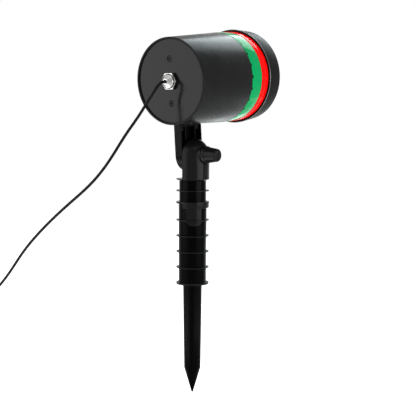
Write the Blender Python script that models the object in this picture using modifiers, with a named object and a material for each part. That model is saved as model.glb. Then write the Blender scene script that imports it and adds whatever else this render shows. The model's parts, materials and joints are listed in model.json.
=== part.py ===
"""Garden laser star projector on a ground spike, in metres, +Z up.

The origin is the tip of the spike. The head tilts about an axis along X through the stake's neck, and
its lens looks along +Y. Everything in the barrel is placed by its station, the distance along the
barrel's axis in front of the tilt axis.
"""

import math

import bmesh
import bpy
import numpy as np
from mathutils import Matrix, Vector

NAME = "laser_star_projector"

# Fits: REACH is how far a tool passes the face that it cuts or joins
GAP = 0.0003
THREAD_GAP = 0.00035
REACH = 0.001
ROUND_SIDES = 40
STAKE_SIDES = 28
SMALL_SIDES = 16

# Head: where it sits on the stake
PIVOT_HEIGHT = 0.255
TILT = math.radians(4.66)
BARREL_AXIS_HEIGHT = 0.078

# Front bezel, which sets the size of the bands, the spigot and the barrel
BEZEL_LENGTH = 0.0218
BEZEL_BACK_RADIUS = 0.0509
BEZEL_TAPER = 0.0021
BEZEL_WALL = 0.0050
BEZEL_LIP = 0.0044
BEZEL_BACK_FILLET = 0.0009
BEZEL_FRONT_FILLET = 0.0016
BEZEL_OPENING_FLARE = 0.0017
BEZEL_FRONT_RADIUS = BEZEL_BACK_RADIUS - BEZEL_TAPER
BEZEL_BORE_RADIUS = BEZEL_BACK_RADIUS - BEZEL_WALL
BEZEL_OPENING_RADIUS = BEZEL_BORE_RADIUS - BEZEL_LIP

# Coloured bands
BAND_INSET = 0.0029
BAND_STEP = 0.0003
GREEN_BAND_LENGTH = 0.0166
RED_BAND_LENGTH = 0.0110
BAND_RADIUS = BEZEL_BACK_RADIUS - BAND_INSET

# Barrel housing, with snap tabs that sit in notches of the green band
BARREL_BACK = -0.0312
BARREL_LENGTH = 0.0776
BARREL_FLARE = 0.0034
BARREL_WALL = 0.0024
BARREL_RIM_WALL = 0.0020
BARREL_RIM_FILLET = 0.0008
SPIGOT_WALL = 0.0024
LEDGE_LENGTH = 0.0022
COVER_LEDGE_DEPTH = 0.0019
CHASSIS_LEDGE_DEPTH = 0.0024
SNAP_TAB_COUNT = 24
SNAP_TAB_WIDTH = 0.0018
SNAP_TAB_LENGTH = 0.0012
SNAP_TAB_INSET = 0.0001
BARREL_FRONT_RADIUS = BAND_RADIUS - SNAP_TAB_INSET
BARREL_BACK_RADIUS = BARREL_FRONT_RADIUS - BARREL_FLARE
SPIGOT_RADIUS = BEZEL_BORE_RADIUS - GAP

# Front window
WINDOW_DEPTH = 0.0078
WINDOW_THICKNESS = 0.0030
WINDOW_GASKET_THICKNESS = 0.0010

# Rear cover and its screws
COVER_RECESS = 0.0018
COVER_THICKNESS = 0.0030
COVER_RIB_LENGTH = 0.0060
COVER_RIB_WALL = 0.0016
COVER_GASKET_THICKNESS = 0.0008
COVER_GASKET_WIDTH = 0.0016
COVER_SCREW_OFFSET = 0.0226
SCREW_RADIUS = 0.0015
SCREW_LENGTH = 0.0170
SCREW_HEAD_RADIUS = 0.0031
SCREW_HEAD_THICKNESS = 0.0014
SCREW_SINK_DEPTH = 0.0020
SCREW_HOLE_EASE = 0.0004
SCREW_HEAD_FILLET = 0.0005
SCREW_SOCKET_RADIUS = 0.0015
SCREW_SOCKET_DEPTH = 0.0009

# Cable gland
GLAND_THREAD_RADIUS = 0.0058
GLAND_THREAD_LENGTH = 0.0120
GLAND_FLANGE_RADIUS = 0.0095
GLAND_FLANGE_THICKNESS = 0.0026
GLAND_SEAL_RADIUS = 0.0079
GLAND_SEAL_THICKNESS = 0.0006
GLAND_DOME_RADIUS = 0.0078
GLAND_DOME_LENGTH = 0.0049
GLAND_CHAMFER = 0.0014
GLAND_SHOULDER = (0.00725, 0.0030)
GLAND_LIP = (0.0042, 0.0011)
GLAND_MOUTH_RADIUS = 0.0029
LOCK_NUT_RADIUS = 0.0090
LOCK_NUT_THICKNESS = 0.0036

# Laser chassis, its modules and the driver board
CHASSIS_SETBACK = 0.0035
CHASSIS_THICKNESS = 0.0025
POST_RADIUS = 0.0036
POST_SHOULDER_RADIUS = 0.0046
POST_PILOT_DEPTH = 0.0200
MODULE_OFFSET = 0.0140
MODULE_RADIUS = 0.0060
MODULE_NOSE_RADIUS = 0.0042
MODULE_NOSE_LENGTH = 0.0040
MODULE_LENGTH = 0.0340
MODULE_SOCKET_LENGTH = 0.0140
MODULE_SOCKET_WALL = 0.0018
APERTURE_RADIUS = 0.0035
GRATING_RADIUS = 0.0050
GRATING_THICKNESS = 0.0008
HEAT_SINK_SIZE = (0.0500, 0.0230, 0.0120)
HEAT_SINK_FIN_PITCH = 0.0070
HEAT_SINK_SLOT_WIDTH = 0.0045
HEAT_SINK_SLOT_DEPTH = 0.0040
HEAT_SINK_STATION = 0.0500
BOARD_SIZE = (0.0500, 0.0580, 0.0016)
BOARD_STATION = 0.0361
RETAINER_RADIUS = 0.0066
RETAINER_THICKNESS = 0.0006
CONNECTOR_SIZE = (0.0100, 0.0080, 0.0070)
CONNECTOR_PLACE = (0.0060, 0.0050)
CAPACITOR_RADIUS = 0.0040
CAPACITOR_HEIGHT = 0.0090
CAPACITOR_PLACE = (-0.0120, 0.0100)
CHIP_SIZE = (0.0070, 0.0060, 0.0018)
CHIP_PLACES = ((0.0150, -0.0110), (-0.0130, -0.0100))
BOARD_PART_SINK = 0.0003
MODULE_LEAD_DIAMETER = 0.0018
MODULE_LEAD_BOW = 0.0004
INNER_LEAD_DIAMETER = 0.0029
INNER_LEAD_STRAIGHT = 0.0020
INNER_LEAD_BENDS = ((0.40, 0.0024, 0.0075), (0.75, 0.0054, 0.0075))
INNER_LEAD_END = 0.0030

# Tilt arm, which carries the barrel
ARM_THICKNESS = 0.0090
ARM_HALF_WIDTH = 0.0170
ARM_FACE_STEP = 0.0002
ARM_WALL = 0.0018
ARM_FLOOR = 0.0020
ARM_BOSS_RADIUS = 0.0110
ARM_RIB_OFFSET = 0.00785
ARM_RIB_THICKNESS = 0.0014
ARM_RIB_DEPTH = 0.0013
ARM_WEB_HEIGHT = 0.0302
ARM_SCREW_BOSS_RADIUS = 0.0031
ARM_SCREW_BOSS_LENGTH = 0.0042
ARM_SCREW_INSET = 0.0046
ARM_SCREW_SPACING = 2 * (ARM_HALF_WIDTH - ARM_SCREW_INSET)
ARM_SCREW_LENGTH = 0.0085

# Pivot bolt, knob and washers
BOLT_RADIUS = 0.0029
BOLT_HEAD_RADIUS = 0.0058
BOLT_HEAD_THICKNESS = 0.0040
BOLT_HEAD_INSET = 0.0004
BOLT_END = 0.0290
BOLT_END_CHAMFER = 0.0006
PIVOT_BORE_RADIUS = 0.0032
FRICTION_WASHER_RADIUS = 0.0093
FRICTION_WASHER_THICKNESS = 0.0010
KNOB_BOSS_RADIUS = 0.0096
KNOB_BOSS_ROOT = 0.0095
KNOB_BOSS_END = 0.0170
SPOT_FACE_MARGIN = 0.0010
SPOT_FACE_STEP = 0.0002
CLAMP_WASHER_RADIUS = 0.0086
CLAMP_WASHER_THICKNESS = 0.0010
KNOB_LENGTH = 0.0148
KNOB_FLANGE_RADIUS = 0.0095
KNOB_FLANGE_LENGTH = 0.0024
KNOB_FLANGE_FILLET = 0.0005
KNOB_STEP = 0.0004
KNOB_STEP_LENGTH = 0.0003
KNOB_NECK_RADIUS = 0.0088
KNOB_END_RADIUS = 0.0066
KNOB_END_FILLET = 0.0012
KNOB_DISH_DEPTH = 0.0004
KNOB_DISH_RADIUS = 0.0044
KNOB_DISH_FLOOR_RADIUS = 0.0026
INSERT_RADIUS = 0.0048
INSERT_LENGTH = 0.0080
KNOB_END_WALL = 0.0030

# Upper stake: the neck and its sleeve
NECK_RADIUS = 0.0175
NECK_WALL = 0.0026
NECK_BOSS_RADIUS = 0.0128
NECK_RIB_THICKNESS = 0.0024
NECK_LENGTH = 0.0254
NECK_BASE = PIVOT_HEIGHT - NECK_LENGTH
SLEEVE_RADIUS = 0.0141
SLEEVE_BORE_RADIUS = 0.0110
SLEEVE_ROOF = 0.0030
UPPER_FIN_DROP = 0.0123
UPPER_FINS = (NECK_BASE - UPPER_FIN_DROP,)

# Lower stake: the finned socket and the spike
SLEEVE_LENGTH = 0.0238
STAKE_TOP = NECK_BASE - SLEEVE_LENGTH
SOCKET_RADIUS = 0.0147
SOCKET_BORE_RADIUS = 0.0115
SOCKET_DEPTH = 0.0450
FIN_RADIUS = 0.01745
FIN_ROOT_THICKNESS = 0.0021
FIN_EDGE_THICKNESS = 0.0009
LOWER_FIN_DROPS = (0.0195, 0.0362, 0.0530, 0.0698)
LOWER_FINS = tuple(STAKE_TOP - drop for drop in LOWER_FIN_DROPS)
STAKE_LENGTH = 0.0877
STOP_HEIGHT = STAKE_TOP - STAKE_LENGTH
STOP_THICKNESS = 0.0018
STOP_BEVEL = 0.0006
SPIKE_TOP_RADIUS = 0.0101
SPIKE_FOOT_RADIUS = 0.0088
SPIKE_FOOT_HEIGHT = 0.0270
SPIKE_FOOT_FILLET = 0.0040
SPIKE_TIP_RADIUS = 0.0008
SPIKE_TIP_FILLET = 0.0006
COLLAR_RADIUS = 0.0171
COLLAR_LENGTH = 0.0068
COLLAR_BOTTOM = STAKE_TOP - COLLAR_LENGTH
COLLAR_CHAMFER = 0.0008
CATCH_RADIUS = 0.0160
CATCH_LENGTH = 0.0248
CATCH_BOTTOM = STAKE_TOP - CATCH_LENGTH
CATCH_HALF_WIDTH = 0.0078
CATCH_FILLET = 0.0052
CATCH_ANGLES = (math.radians(-45), math.radians(135))
PLUG_LENGTH = 0.0430
PLUG_RIB_THICKNESS = 0.0030
PLUG_CHAMFER = 0.0015

# Power cord
CORD_DIAMETER = 0.00295
CORD_POINT_COUNT = 66
CORD_ROUTE = (
    (-0.0006, -0.0500, 0.3287),
    (-0.0019, -0.0551, 0.3234),
    (-0.0100, -0.0589, 0.3101),
    (-0.0173, -0.0653, 0.2946),
    (-0.0251, -0.0735, 0.2785),
    (-0.0382, -0.0819, 0.2543),
    (-0.0576, -0.0884, 0.2295),
    (-0.0874, -0.0963, 0.2037),
    (-0.1178, -0.1039, 0.1771),
    (-0.1431, -0.1103, 0.1500),
    (-0.1639, -0.1155, 0.1226),
    (-0.1860, -0.1205, 0.0990),
    (-0.2120, -0.1265, 0.0690),
    (-0.2370, -0.1325, 0.0380),
    (-0.2570, -0.1365, 0.0170),
    (-0.2780, -0.1378, 0.0062),
)

# The put-away coil, its tie and the adapter, on the ground to the left of the spike
COIL_CENTRE = (-0.3080, -0.1120)
COIL_TURNS = 16.25
COIL_LAYERS = 4
COIL_POINTS_PER_TURN = 24
COIL_PITCH = 0.00347
COIL_MEAN_RADIUS = 0.0177
COIL_HEIGHT = 0.0025
COIL_TAIL = 0.0180
TIE_WIDTH = 0.0080
TIE_THICKNESS = 0.0006
TIE_CLEARANCE = 0.0004
TIE_ANGLE = math.radians(45)
ADAPTER_SIZE = (0.0340, 0.0580, 0.0254)
ADAPTER_FILLET = 0.0030
RELIEF_LENGTH = 0.0120
RELIEF_BACK_RADIUS = 0.0042
RELIEF_FRONT_RADIUS = 0.0026
RELIEF_FILLET = 0.0006
BLADE_SIZE = (0.0170, 0.0063, 0.0015)
BLADE_SPACING = 0.0127

# Directions of pieces that are made round Z or flat in XY
ALONG_X = (0, math.radians(90), 0)
IN_YZ = (math.radians(90), 0, math.radians(90))

# Stations that several pieces share
BARREL_SHOULDER = BARREL_BACK + BARREL_LENGTH
GREEN_BACK = BARREL_SHOULDER + GAP
RED_BACK = GREEN_BACK + GREEN_BAND_LENGTH + GAP
BEZEL_BACK = RED_BACK + RED_BAND_LENGTH + GAP
BEZEL_FRONT = BEZEL_BACK + BEZEL_LENGTH
BEZEL_LEDGE = BEZEL_FRONT - WINDOW_DEPTH
WINDOW_FRONT = BEZEL_LEDGE - GAP
WINDOW_BACK = WINDOW_FRONT - WINDOW_THICKNESS
SPIGOT_END = WINDOW_BACK - 2 * GAP - WINDOW_GASKET_THICKNESS
CHASSIS_FRONT = SPIGOT_END - CHASSIS_SETBACK
CHASSIS_BACK = CHASSIS_FRONT - CHASSIS_THICKNESS
CHASSIS_LEDGE = CHASSIS_BACK - GAP
COVER_BACK = BARREL_BACK + COVER_RECESS
COVER_FRONT = COVER_BACK + COVER_THICKNESS
COVER_LEDGE = COVER_FRONT + COVER_GASKET_THICKNESS + 2 * GAP
GLAND_FLANGE_FRONT = COVER_BACK - GLAND_SEAL_THICKNESS - 2 * GAP
GLAND_FLANGE_BACK = GLAND_FLANGE_FRONT - GLAND_FLANGE_THICKNESS
GLAND_EXIT = GLAND_FLANGE_BACK - GAP - GLAND_DOME_LENGTH
GLAND_INNER_END = GLAND_FLANGE_FRONT + GLAND_THREAD_LENGTH
MODULE_FRONT = CHASSIS_BACK - GAP
MODULE_BACK = MODULE_FRONT - MODULE_LENGTH
SPIGOT_BORE_RADIUS = SPIGOT_RADIUS - SPIGOT_WALL
COVER_RADIUS = BARREL_BACK_RADIUS - BARREL_RIM_WALL - GAP
SCREW_HOLE_RADIUS = SCREW_RADIUS + SCREW_HOLE_EASE
SADDLE_REACH = BARREL_AXIS_HEIGHT - BARREL_BACK_RADIUS / 2
CORD_BORE_RADIUS = CORD_DIAMETER / 2 + THREAD_GAP

# Distances along the knob's axis from the stake's centre plane
ARM_INNER_FACE = -GAP - ARM_FACE_STEP
ARM_OUTER_FACE = ARM_INNER_FACE - ARM_THICKNESS
BOLT_HEAD_SEAT = ARM_OUTER_FACE + BOLT_HEAD_THICKNESS + BOLT_HEAD_INSET
CLAMP_WASHER_BACK = KNOB_BOSS_END + GAP
KNOB_BACK = CLAMP_WASHER_BACK + CLAMP_WASHER_THICKNESS + GAP
KNOB_END = KNOB_BACK + KNOB_LENGTH


def clear_scene():
    for obj in list(bpy.data.objects):
        bpy.data.objects.remove(obj, do_unlink=True)


def new_collection(name):
    made = bpy.data.collections.new(name)
    bpy.context.scene.collection.children.link(made)
    return made


def material(name, colour, roughness, metallic=0.0, alpha=1.0, transmission=0.0):
    made = bpy.data.materials.new(name)
    made.use_nodes = True
    shader = made.node_tree.nodes["Principled BSDF"]
    shader.inputs["Base Color"].default_value = (*colour, 1.0)
    shader.inputs["Roughness"].default_value = roughness
    shader.inputs["Metallic"].default_value = metallic
    shader.inputs["Alpha"].default_value = alpha
    shader.inputs["Transmission Weight"].default_value = transmission
    return made


def frame(name, parent=None, location=(0, 0, 0), rotation=(0, 0, 0)):
    """An empty that carries pieces: its Z is the axis that they are made round."""
    made = bpy.data.objects.new(name, None)
    PARTS.objects.link(made)
    made.parent = parent
    made.location = location
    made.rotation_euler = rotation
    return made


def add(name, data, surface, parent=None, location=(0, 0, 0), rotation=(0, 0, 0)):
    """An object of the part, or a tool that only cuts or joins where it has no surface."""
    made = bpy.data.objects.new(name, data)
    made.parent = parent
    made.location = location
    made.rotation_euler = rotation
    if surface is None:
        TOOLS.objects.link(made)
        made.hide_render = True
        made.display_type = "WIRE"
    else:
        PARTS.objects.link(made)
        data.materials.append(surface)
    return made


def rounded(corners, closed=True, steps=2):
    """Points of an outline of (across, along, fillet) corners, each fillet no longer than its edges allow."""
    points = []
    for index, (across, along, fillet) in enumerate(corners):
        corner = Vector((across, along))
        at_end = not closed and index in (0, len(corners) - 1)
        if at_end or not fillet:
            points.append(corner)
            continue
        before = Vector(corners[index - 1][:2]) - corner
        after = Vector(corners[(index + 1) % len(corners)][:2]) - corner
        half = before.angle(after) / 2
        reach = min(fillet / math.tan(half), 0.45 * before.length, 0.45 * after.length)
        radius = reach * math.tan(half)
        middle = (before.normalized() + after.normalized()).normalized()
        centre = corner + middle * radius / math.sin(half)
        start = corner + before.normalized() * reach - centre
        turn = start.angle_signed(corner + after.normalized() * reach - centre)
        for step in range(steps + 1):
            points.append(centre + Matrix.Rotation(-turn * step / steps, 2) @ start)
    return points


def turned(name, corners, surface, sides=ROUND_SIDES, **place):
    """A turned piece round Z, from (radius, height, fillet) corners. A solid starts and ends at radius 0."""
    solid = corners[0][0] == 0 and corners[-1][0] == 0
    points = rounded(corners, closed=not solid)
    area = sum(a.x * b.y - b.x * a.y for a, b in zip(points, points[1:] + points[:1]))
    if area > 0:
        points.reverse()
    edges = [(i, i + 1) for i in range(len(points) - 1)]
    if not solid:
        edges.append((len(points) - 1, 0))
    mesh = bpy.data.meshes.new(name)
    mesh.from_pydata([(point.x, 0, point.y) for point in points], edges, [])
    made = add(name, mesh, surface, **place)
    screw = made.modifiers.new("turn", "SCREW")
    screw.axis = "Z"
    screw.angle = math.tau
    screw.steps = sides
    screw.render_steps = sides
    screw.use_merge_vertices = True
    screw.merge_threshold = 1e-6
    return made


def ring(name, inner, outer, low, high, surface, sides=SMALL_SIDES, fillet=0.0, **place):
    corners = [(inner, low, 0), (inner, high, 0), (outer, high, fillet), (outer, low, fillet)]
    return turned(name, corners, surface, sides, **place)


def drum(name, radius, low, high, surface=None, sides=SMALL_SIDES, **place):
    """A cylinder round Z, or a hexagon where it has six sides."""
    mesh = bpy.data.meshes.new(name)
    form = bmesh.new()
    bmesh.ops.create_cone(
        form, cap_ends=True, segments=sides, radius1=radius, radius2=radius, depth=high - low,
        matrix=Matrix.Translation((0, 0, (low + high) / 2)),
    )
    form.to_mesh(mesh)
    form.free()
    return add(name, mesh, surface, **place)


def block(name, low, high, surface=None, bevel=0.0, bevel_steps=2, **place):
    """A box between two corners, with rounded edges where it has a bevel."""
    low, high = Vector(low), Vector(high)
    mesh = bpy.data.meshes.new(name)
    form = bmesh.new()
    size = Matrix.Diagonal((*(high - low), 1))
    bmesh.ops.create_cube(form, size=1, matrix=Matrix.Translation((low + high) / 2) @ size)
    form.to_mesh(mesh)
    form.free()
    made = add(name, mesh, surface, **place)
    if bevel:
        edges = made.modifiers.new("edges", "BEVEL")
        edges.width = bevel
        edges.segments = bevel_steps
    return made


def plate(name, outline, low, high, surface=None, **place):
    """A flat outline in XY, thick from low to high, as a mesh that takes cuts."""
    curve = bpy.data.curves.new(name, "CURVE")
    curve.dimensions = "2D"
    curve.fill_mode = "BOTH"
    curve.extrude = (high - low) / 2
    spline = curve.splines.new("POLY")
    spline.points.add(len(outline) - 1)
    for point, (x, y) in zip(spline.points, outline):
        point.co = (x, y, 0, 1)
    spline.use_cyclic_u = True
    shape = bpy.data.objects.new(name, curve)
    TOOLS.objects.link(shape)
    bpy.context.view_layer.update()
    mesh = bpy.data.meshes.new_from_object(shape.evaluated_get(bpy.context.evaluated_depsgraph_get()))
    bpy.data.objects.remove(shape)
    form = bmesh.new()
    form.from_mesh(mesh)
    bmesh.ops.remove_doubles(form, verts=form.verts, dist=1e-6)
    bmesh.ops.translate(form, verts=form.verts, vec=(0, 0, (low + high) / 2))
    bmesh.ops.recalc_face_normals(form, faces=form.faces)
    form.to_mesh(mesh)
    form.free()
    mesh.materials.clear()
    return add(name, mesh, surface, **place)


def tube(name, points, diameter, surface, resolution=2, **place):
    """A round tube along points, with filled ends."""
    curve = bpy.data.curves.new(name, "CURVE")
    curve.dimensions = "3D"
    curve.bevel_depth = diameter / 2
    curve.bevel_resolution = resolution
    curve.use_fill_caps = True
    spline = curve.splines.new("POLY")
    spline.points.add(len(points) - 1)
    for point, place_of in zip(spline.points, points):
        point.co = (*place_of, 1)
    return add(name, curve, surface, **place)


def combine(piece, tool, operation):
    step = piece.modifiers.new(tool.name, "BOOLEAN")
    step.operation = operation
    step.solver = "EXACT"
    step.object = tool


def cut(piece, tool):
    combine(piece, tool, "DIFFERENCE")


def fuse(piece, tool):
    combine(piece, tool, "UNION")


def keep(piece, tool):
    combine(piece, tool, "INTERSECT")


def smooth_path(route, count):
    """Evenly spaced points on a natural cubic curve through the route's points."""
    knots = np.array(route, float)
    steps = np.linalg.norm(np.diff(knots, axis=0), axis=1)
    at = np.concatenate([[0], np.cumsum(steps)])
    size = len(knots)
    matrix = np.eye(size)
    right = np.zeros((size, 3))
    for i in range(1, size - 1):
        matrix[i, i - 1:i + 2] = (steps[i - 1], 2 * (steps[i - 1] + steps[i]), steps[i])
        rises = np.diff(knots[i - 1:i + 2], axis=0) / steps[i - 1:i + 1, None]
        right[i] = 6 * (rises[1] - rises[0])
    bends = np.linalg.solve(matrix, right)

    def read(t):
        i = np.clip(np.searchsorted(at, t, side="right") - 1, 0, size - 2)
        step = steps[i][:, None]
        b = (t - at[i])[:, None] / step
        a = 1 - b
        bend = (a**3 - a) * bends[i] + (b**3 - b) * bends[i + 1]
        return a * knots[i] + b * knots[i + 1] + bend * step**2 / 6

    fine = read(np.linspace(0, at[-1], 40 * count))
    along = np.concatenate([[0], np.cumsum(np.linalg.norm(np.diff(fine, axis=0), axis=1))])
    even = np.linspace(0, along[-1], count)
    return np.stack([np.interp(even, along, fine[:, axis]) for axis in range(3)], axis=1)


def barrel_radius(station):
    """Outer radius of the barrel, which widens towards the front."""
    share = (station - BARREL_BACK) / BARREL_LENGTH
    return BARREL_BACK_RADIUS + (BARREL_FRONT_RADIUS - BARREL_BACK_RADIUS) * share


def shared_materials():
    black = material("black_plastic", (0.012, 0.012, 0.013), 0.42)
    return {
        "shell": black,
        "stake": material("stake_plastic", (0.010, 0.010, 0.011), 0.36),
        "cover": material("cover_plastic", (0.030, 0.030, 0.031), 0.55),
        "rubber": material("black_rubber", (0.015, 0.015, 0.015), 0.75),
        "steel": material("zinc_steel", (0.62, 0.62, 0.60), 0.30, metallic=1.0),
        "dark_steel": material("blackened_steel", (0.06, 0.06, 0.06), 0.40, metallic=1.0),
        "nickel": material("nickel_plate", (0.72, 0.71, 0.68), 0.18, metallic=1.0),
        "brass": material("turned_brass", (0.75, 0.56, 0.25), 0.28, metallic=1.0),
        "aluminium": material("aluminium", (0.66, 0.67, 0.68), 0.38, metallic=1.0),
        "green": material("green_gloss", (0.005, 0.27, 0.08), 0.12),
        "red": material("red_gloss", (0.75, 0.008, 0.006), 0.12),
        "window": material("clear_acrylic", (0.9, 0.92, 0.92), 0.05, alpha=0.35, transmission=1.0),
        "grating": material("grating_film", (0.55, 0.60, 0.62), 0.08, alpha=0.6),
        "board": material("green_laminate", (0.02, 0.16, 0.06), 0.45),
        "cord": material("cord_sheath", (0.013, 0.013, 0.014), 0.5),
    }


def snap_tabs(name, width, inner, outer, low, high, axis):
    """A ring of small blocks round the barrel's axis, in one tool."""
    mesh = bpy.data.meshes.new(name)
    form = bmesh.new()
    size = Matrix.Diagonal((outer - inner, width, high - low, 1))
    middle = Matrix.Translation(((inner + outer) / 2, 0, (low + high) / 2))
    for index in range(SNAP_TAB_COUNT):
        turn = Matrix.Rotation(math.tau * index / SNAP_TAB_COUNT, 4, "Z")
        bmesh.ops.create_cube(form, size=1, matrix=turn @ middle @ size)
    form.to_mesh(mesh)
    form.free()
    return add(name, mesh, None, parent=axis)


def barrel_housing(axis, head):
    """The flared shell: ledges for cover and chassis, snap tabs, and the spigot for bands and bezel."""
    rim = BARREL_BACK_RADIUS - BARREL_RIM_WALL
    ledge_end = COVER_LEDGE + LEDGE_LENGTH
    wall_end = BARREL_SHOULDER - BARREL_WALL
    ledge_radius = rim - COVER_LEDGE_DEPTH
    chassis_radius = SPIGOT_BORE_RADIUS - CHASSIS_LEDGE_DEPTH
    shell = turned("barrel_housing", [
        (rim, BARREL_BACK, 0),
        (BARREL_BACK_RADIUS, BARREL_BACK, BARREL_RIM_FILLET),
        (BARREL_FRONT_RADIUS, BARREL_SHOULDER, 0),
        (SPIGOT_RADIUS, BARREL_SHOULDER, 0),
        (SPIGOT_RADIUS, SPIGOT_END, 0),
        (SPIGOT_BORE_RADIUS, SPIGOT_END, 0),
        (SPIGOT_BORE_RADIUS, CHASSIS_LEDGE, 0),
        (chassis_radius, CHASSIS_LEDGE, 0),
        (chassis_radius, CHASSIS_LEDGE - LEDGE_LENGTH, 0),
        (SPIGOT_BORE_RADIUS, CHASSIS_LEDGE - LEDGE_LENGTH, 0),
        (SPIGOT_BORE_RADIUS, wall_end, 0),
        (barrel_radius(wall_end) - BARREL_WALL, wall_end, 0),
        (barrel_radius(ledge_end) - BARREL_WALL, ledge_end, 0),
        (ledge_radius, ledge_end, 0),
        (ledge_radius, COVER_LEDGE, 0),
        (rim, COVER_LEDGE, 0),
    ], SURFACES["shell"], parent=axis)
    tab_top = BARREL_FRONT_RADIUS - 2 * SNAP_TAB_INSET
    fuse(shell, snap_tabs("shell_tabs", SNAP_TAB_WIDTH, SPIGOT_RADIUS - REACH, tab_top,
                          BARREL_SHOULDER - REACH, BARREL_SHOULDER + SNAP_TAB_LENGTH, axis))
    for index, along in enumerate((-ARM_SCREW_SPACING / 2, ARM_SCREW_SPACING / 2)):
        cut(shell, drum(f"arm_screw_hole_{index}", SCREW_HOLE_RADIUS, 0, SADDLE_REACH,
                        parent=head, location=(arm_middle(), along, 0)))


def arm_middle():
    return (ARM_INNER_FACE + ARM_OUTER_FACE) / 2


def bands_and_bezel(axis):
    bore = BEZEL_BORE_RADIUS
    green = ring("green_band", bore, BAND_RADIUS, GREEN_BACK, GREEN_BACK + GREEN_BAND_LENGTH,
                 SURFACES["green"], ROUND_SIDES, parent=axis)
    cut(green, snap_tabs("band_notches", SNAP_TAB_WIDTH + 2 * GAP, SPIGOT_RADIUS - REACH, BAND_RADIUS + REACH,
                         BARREL_SHOULDER - REACH, BARREL_SHOULDER + SNAP_TAB_LENGTH + GAP, axis))
    ring("red_band", bore, BAND_RADIUS + BAND_STEP, RED_BACK, RED_BACK + RED_BAND_LENGTH,
         SURFACES["red"], ROUND_SIDES, parent=axis)
    turned("front_bezel", [
        (bore, BEZEL_BACK, 0),
        (BEZEL_BACK_RADIUS, BEZEL_BACK, BEZEL_BACK_FILLET),
        (BEZEL_FRONT_RADIUS, BEZEL_FRONT, BEZEL_FRONT_FILLET),
        (BEZEL_OPENING_RADIUS + BEZEL_OPENING_FLARE, BEZEL_FRONT, 0),
        (BEZEL_OPENING_RADIUS, BEZEL_LEDGE, 0),
        (bore, BEZEL_LEDGE, 0),
    ], SURFACES["shell"], parent=axis)


def window_stack(axis):
    outer = BEZEL_BORE_RADIUS - GAP
    turned("front_window", [
        (0, WINDOW_BACK, 0), (outer, WINDOW_BACK, 0), (outer, WINDOW_FRONT, 0), (0, WINDOW_FRONT, 0),
    ], SURFACES["window"], parent=axis)
    ring("window_gasket", SPIGOT_BORE_RADIUS + GAP, SPIGOT_RADIUS - GAP, SPIGOT_END + GAP,
         SPIGOT_END + GAP + WINDOW_GASKET_THICKNESS, SURFACES["rubber"], ROUND_SIDES, parent=axis)


def cover_screw(name, axis, side):
    """A sunk screw in the rear cover, with a hexagon socket."""
    seat = COVER_BACK + SCREW_SINK_DEPTH - GAP
    top = seat - SCREW_HEAD_THICKNESS
    screw = turned(name, [
        (0, seat + SCREW_LENGTH, 0), (SCREW_RADIUS, seat + SCREW_LENGTH, 0), (SCREW_RADIUS, seat, 0),
        (SCREW_HEAD_RADIUS, seat, 0), (SCREW_HEAD_RADIUS, top, SCREW_HEAD_FILLET), (0, top, 0),
    ], SURFACES["dark_steel"], SMALL_SIDES, parent=axis, location=(0, side * COVER_SCREW_OFFSET, 0))
    cut(screw, drum(f"{name}_socket", SCREW_SOCKET_RADIUS, top - REACH, top + SCREW_SOCKET_DEPTH, sides=6,
                    parent=axis, location=(0, side * COVER_SCREW_OFFSET, 0)))


def rear_cover(axis):
    """The recessed rear plate, its rib that fits the ledge, its gasket and its two screws."""
    rib_outer = COVER_RADIUS - COVER_LEDGE_DEPTH
    rib_inner = rib_outer - COVER_RIB_WALL
    rib_end = COVER_FRONT + COVER_RIB_LENGTH
    hole = GLAND_THREAD_RADIUS + GAP
    cover = turned("rear_cover", [
        (hole, COVER_BACK, 0), (COVER_RADIUS, COVER_BACK, 0), (COVER_RADIUS, COVER_FRONT, 0),
        (rib_outer, COVER_FRONT, 0), (rib_outer, rib_end, 0), (rib_inner, rib_end, 0),
        (rib_inner, COVER_FRONT, 0), (hole, COVER_FRONT, 0),
    ], SURFACES["cover"], parent=axis)
    for name, side in (("upper", -1), ("lower", 1)):
        place = {"parent": axis, "location": (0, side * COVER_SCREW_OFFSET, 0)}
        cut(cover, drum(f"cover_hole_{name}", SCREW_HOLE_RADIUS, COVER_BACK - REACH,
                        COVER_FRONT + REACH, **place))
        cut(cover, drum(f"cover_sink_{name}", SCREW_HEAD_RADIUS + GAP, COVER_BACK - REACH,
                        COVER_BACK + SCREW_SINK_DEPTH, **place))
        cover_screw(f"cover_screw_{name}", axis, side)
    ring("cover_gasket", COVER_RADIUS - COVER_GASKET_WIDTH, COVER_RADIUS, COVER_FRONT + GAP,
         COVER_FRONT + GAP + COVER_GASKET_THICKNESS, SURFACES["rubber"], ROUND_SIDES, parent=axis)


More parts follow.
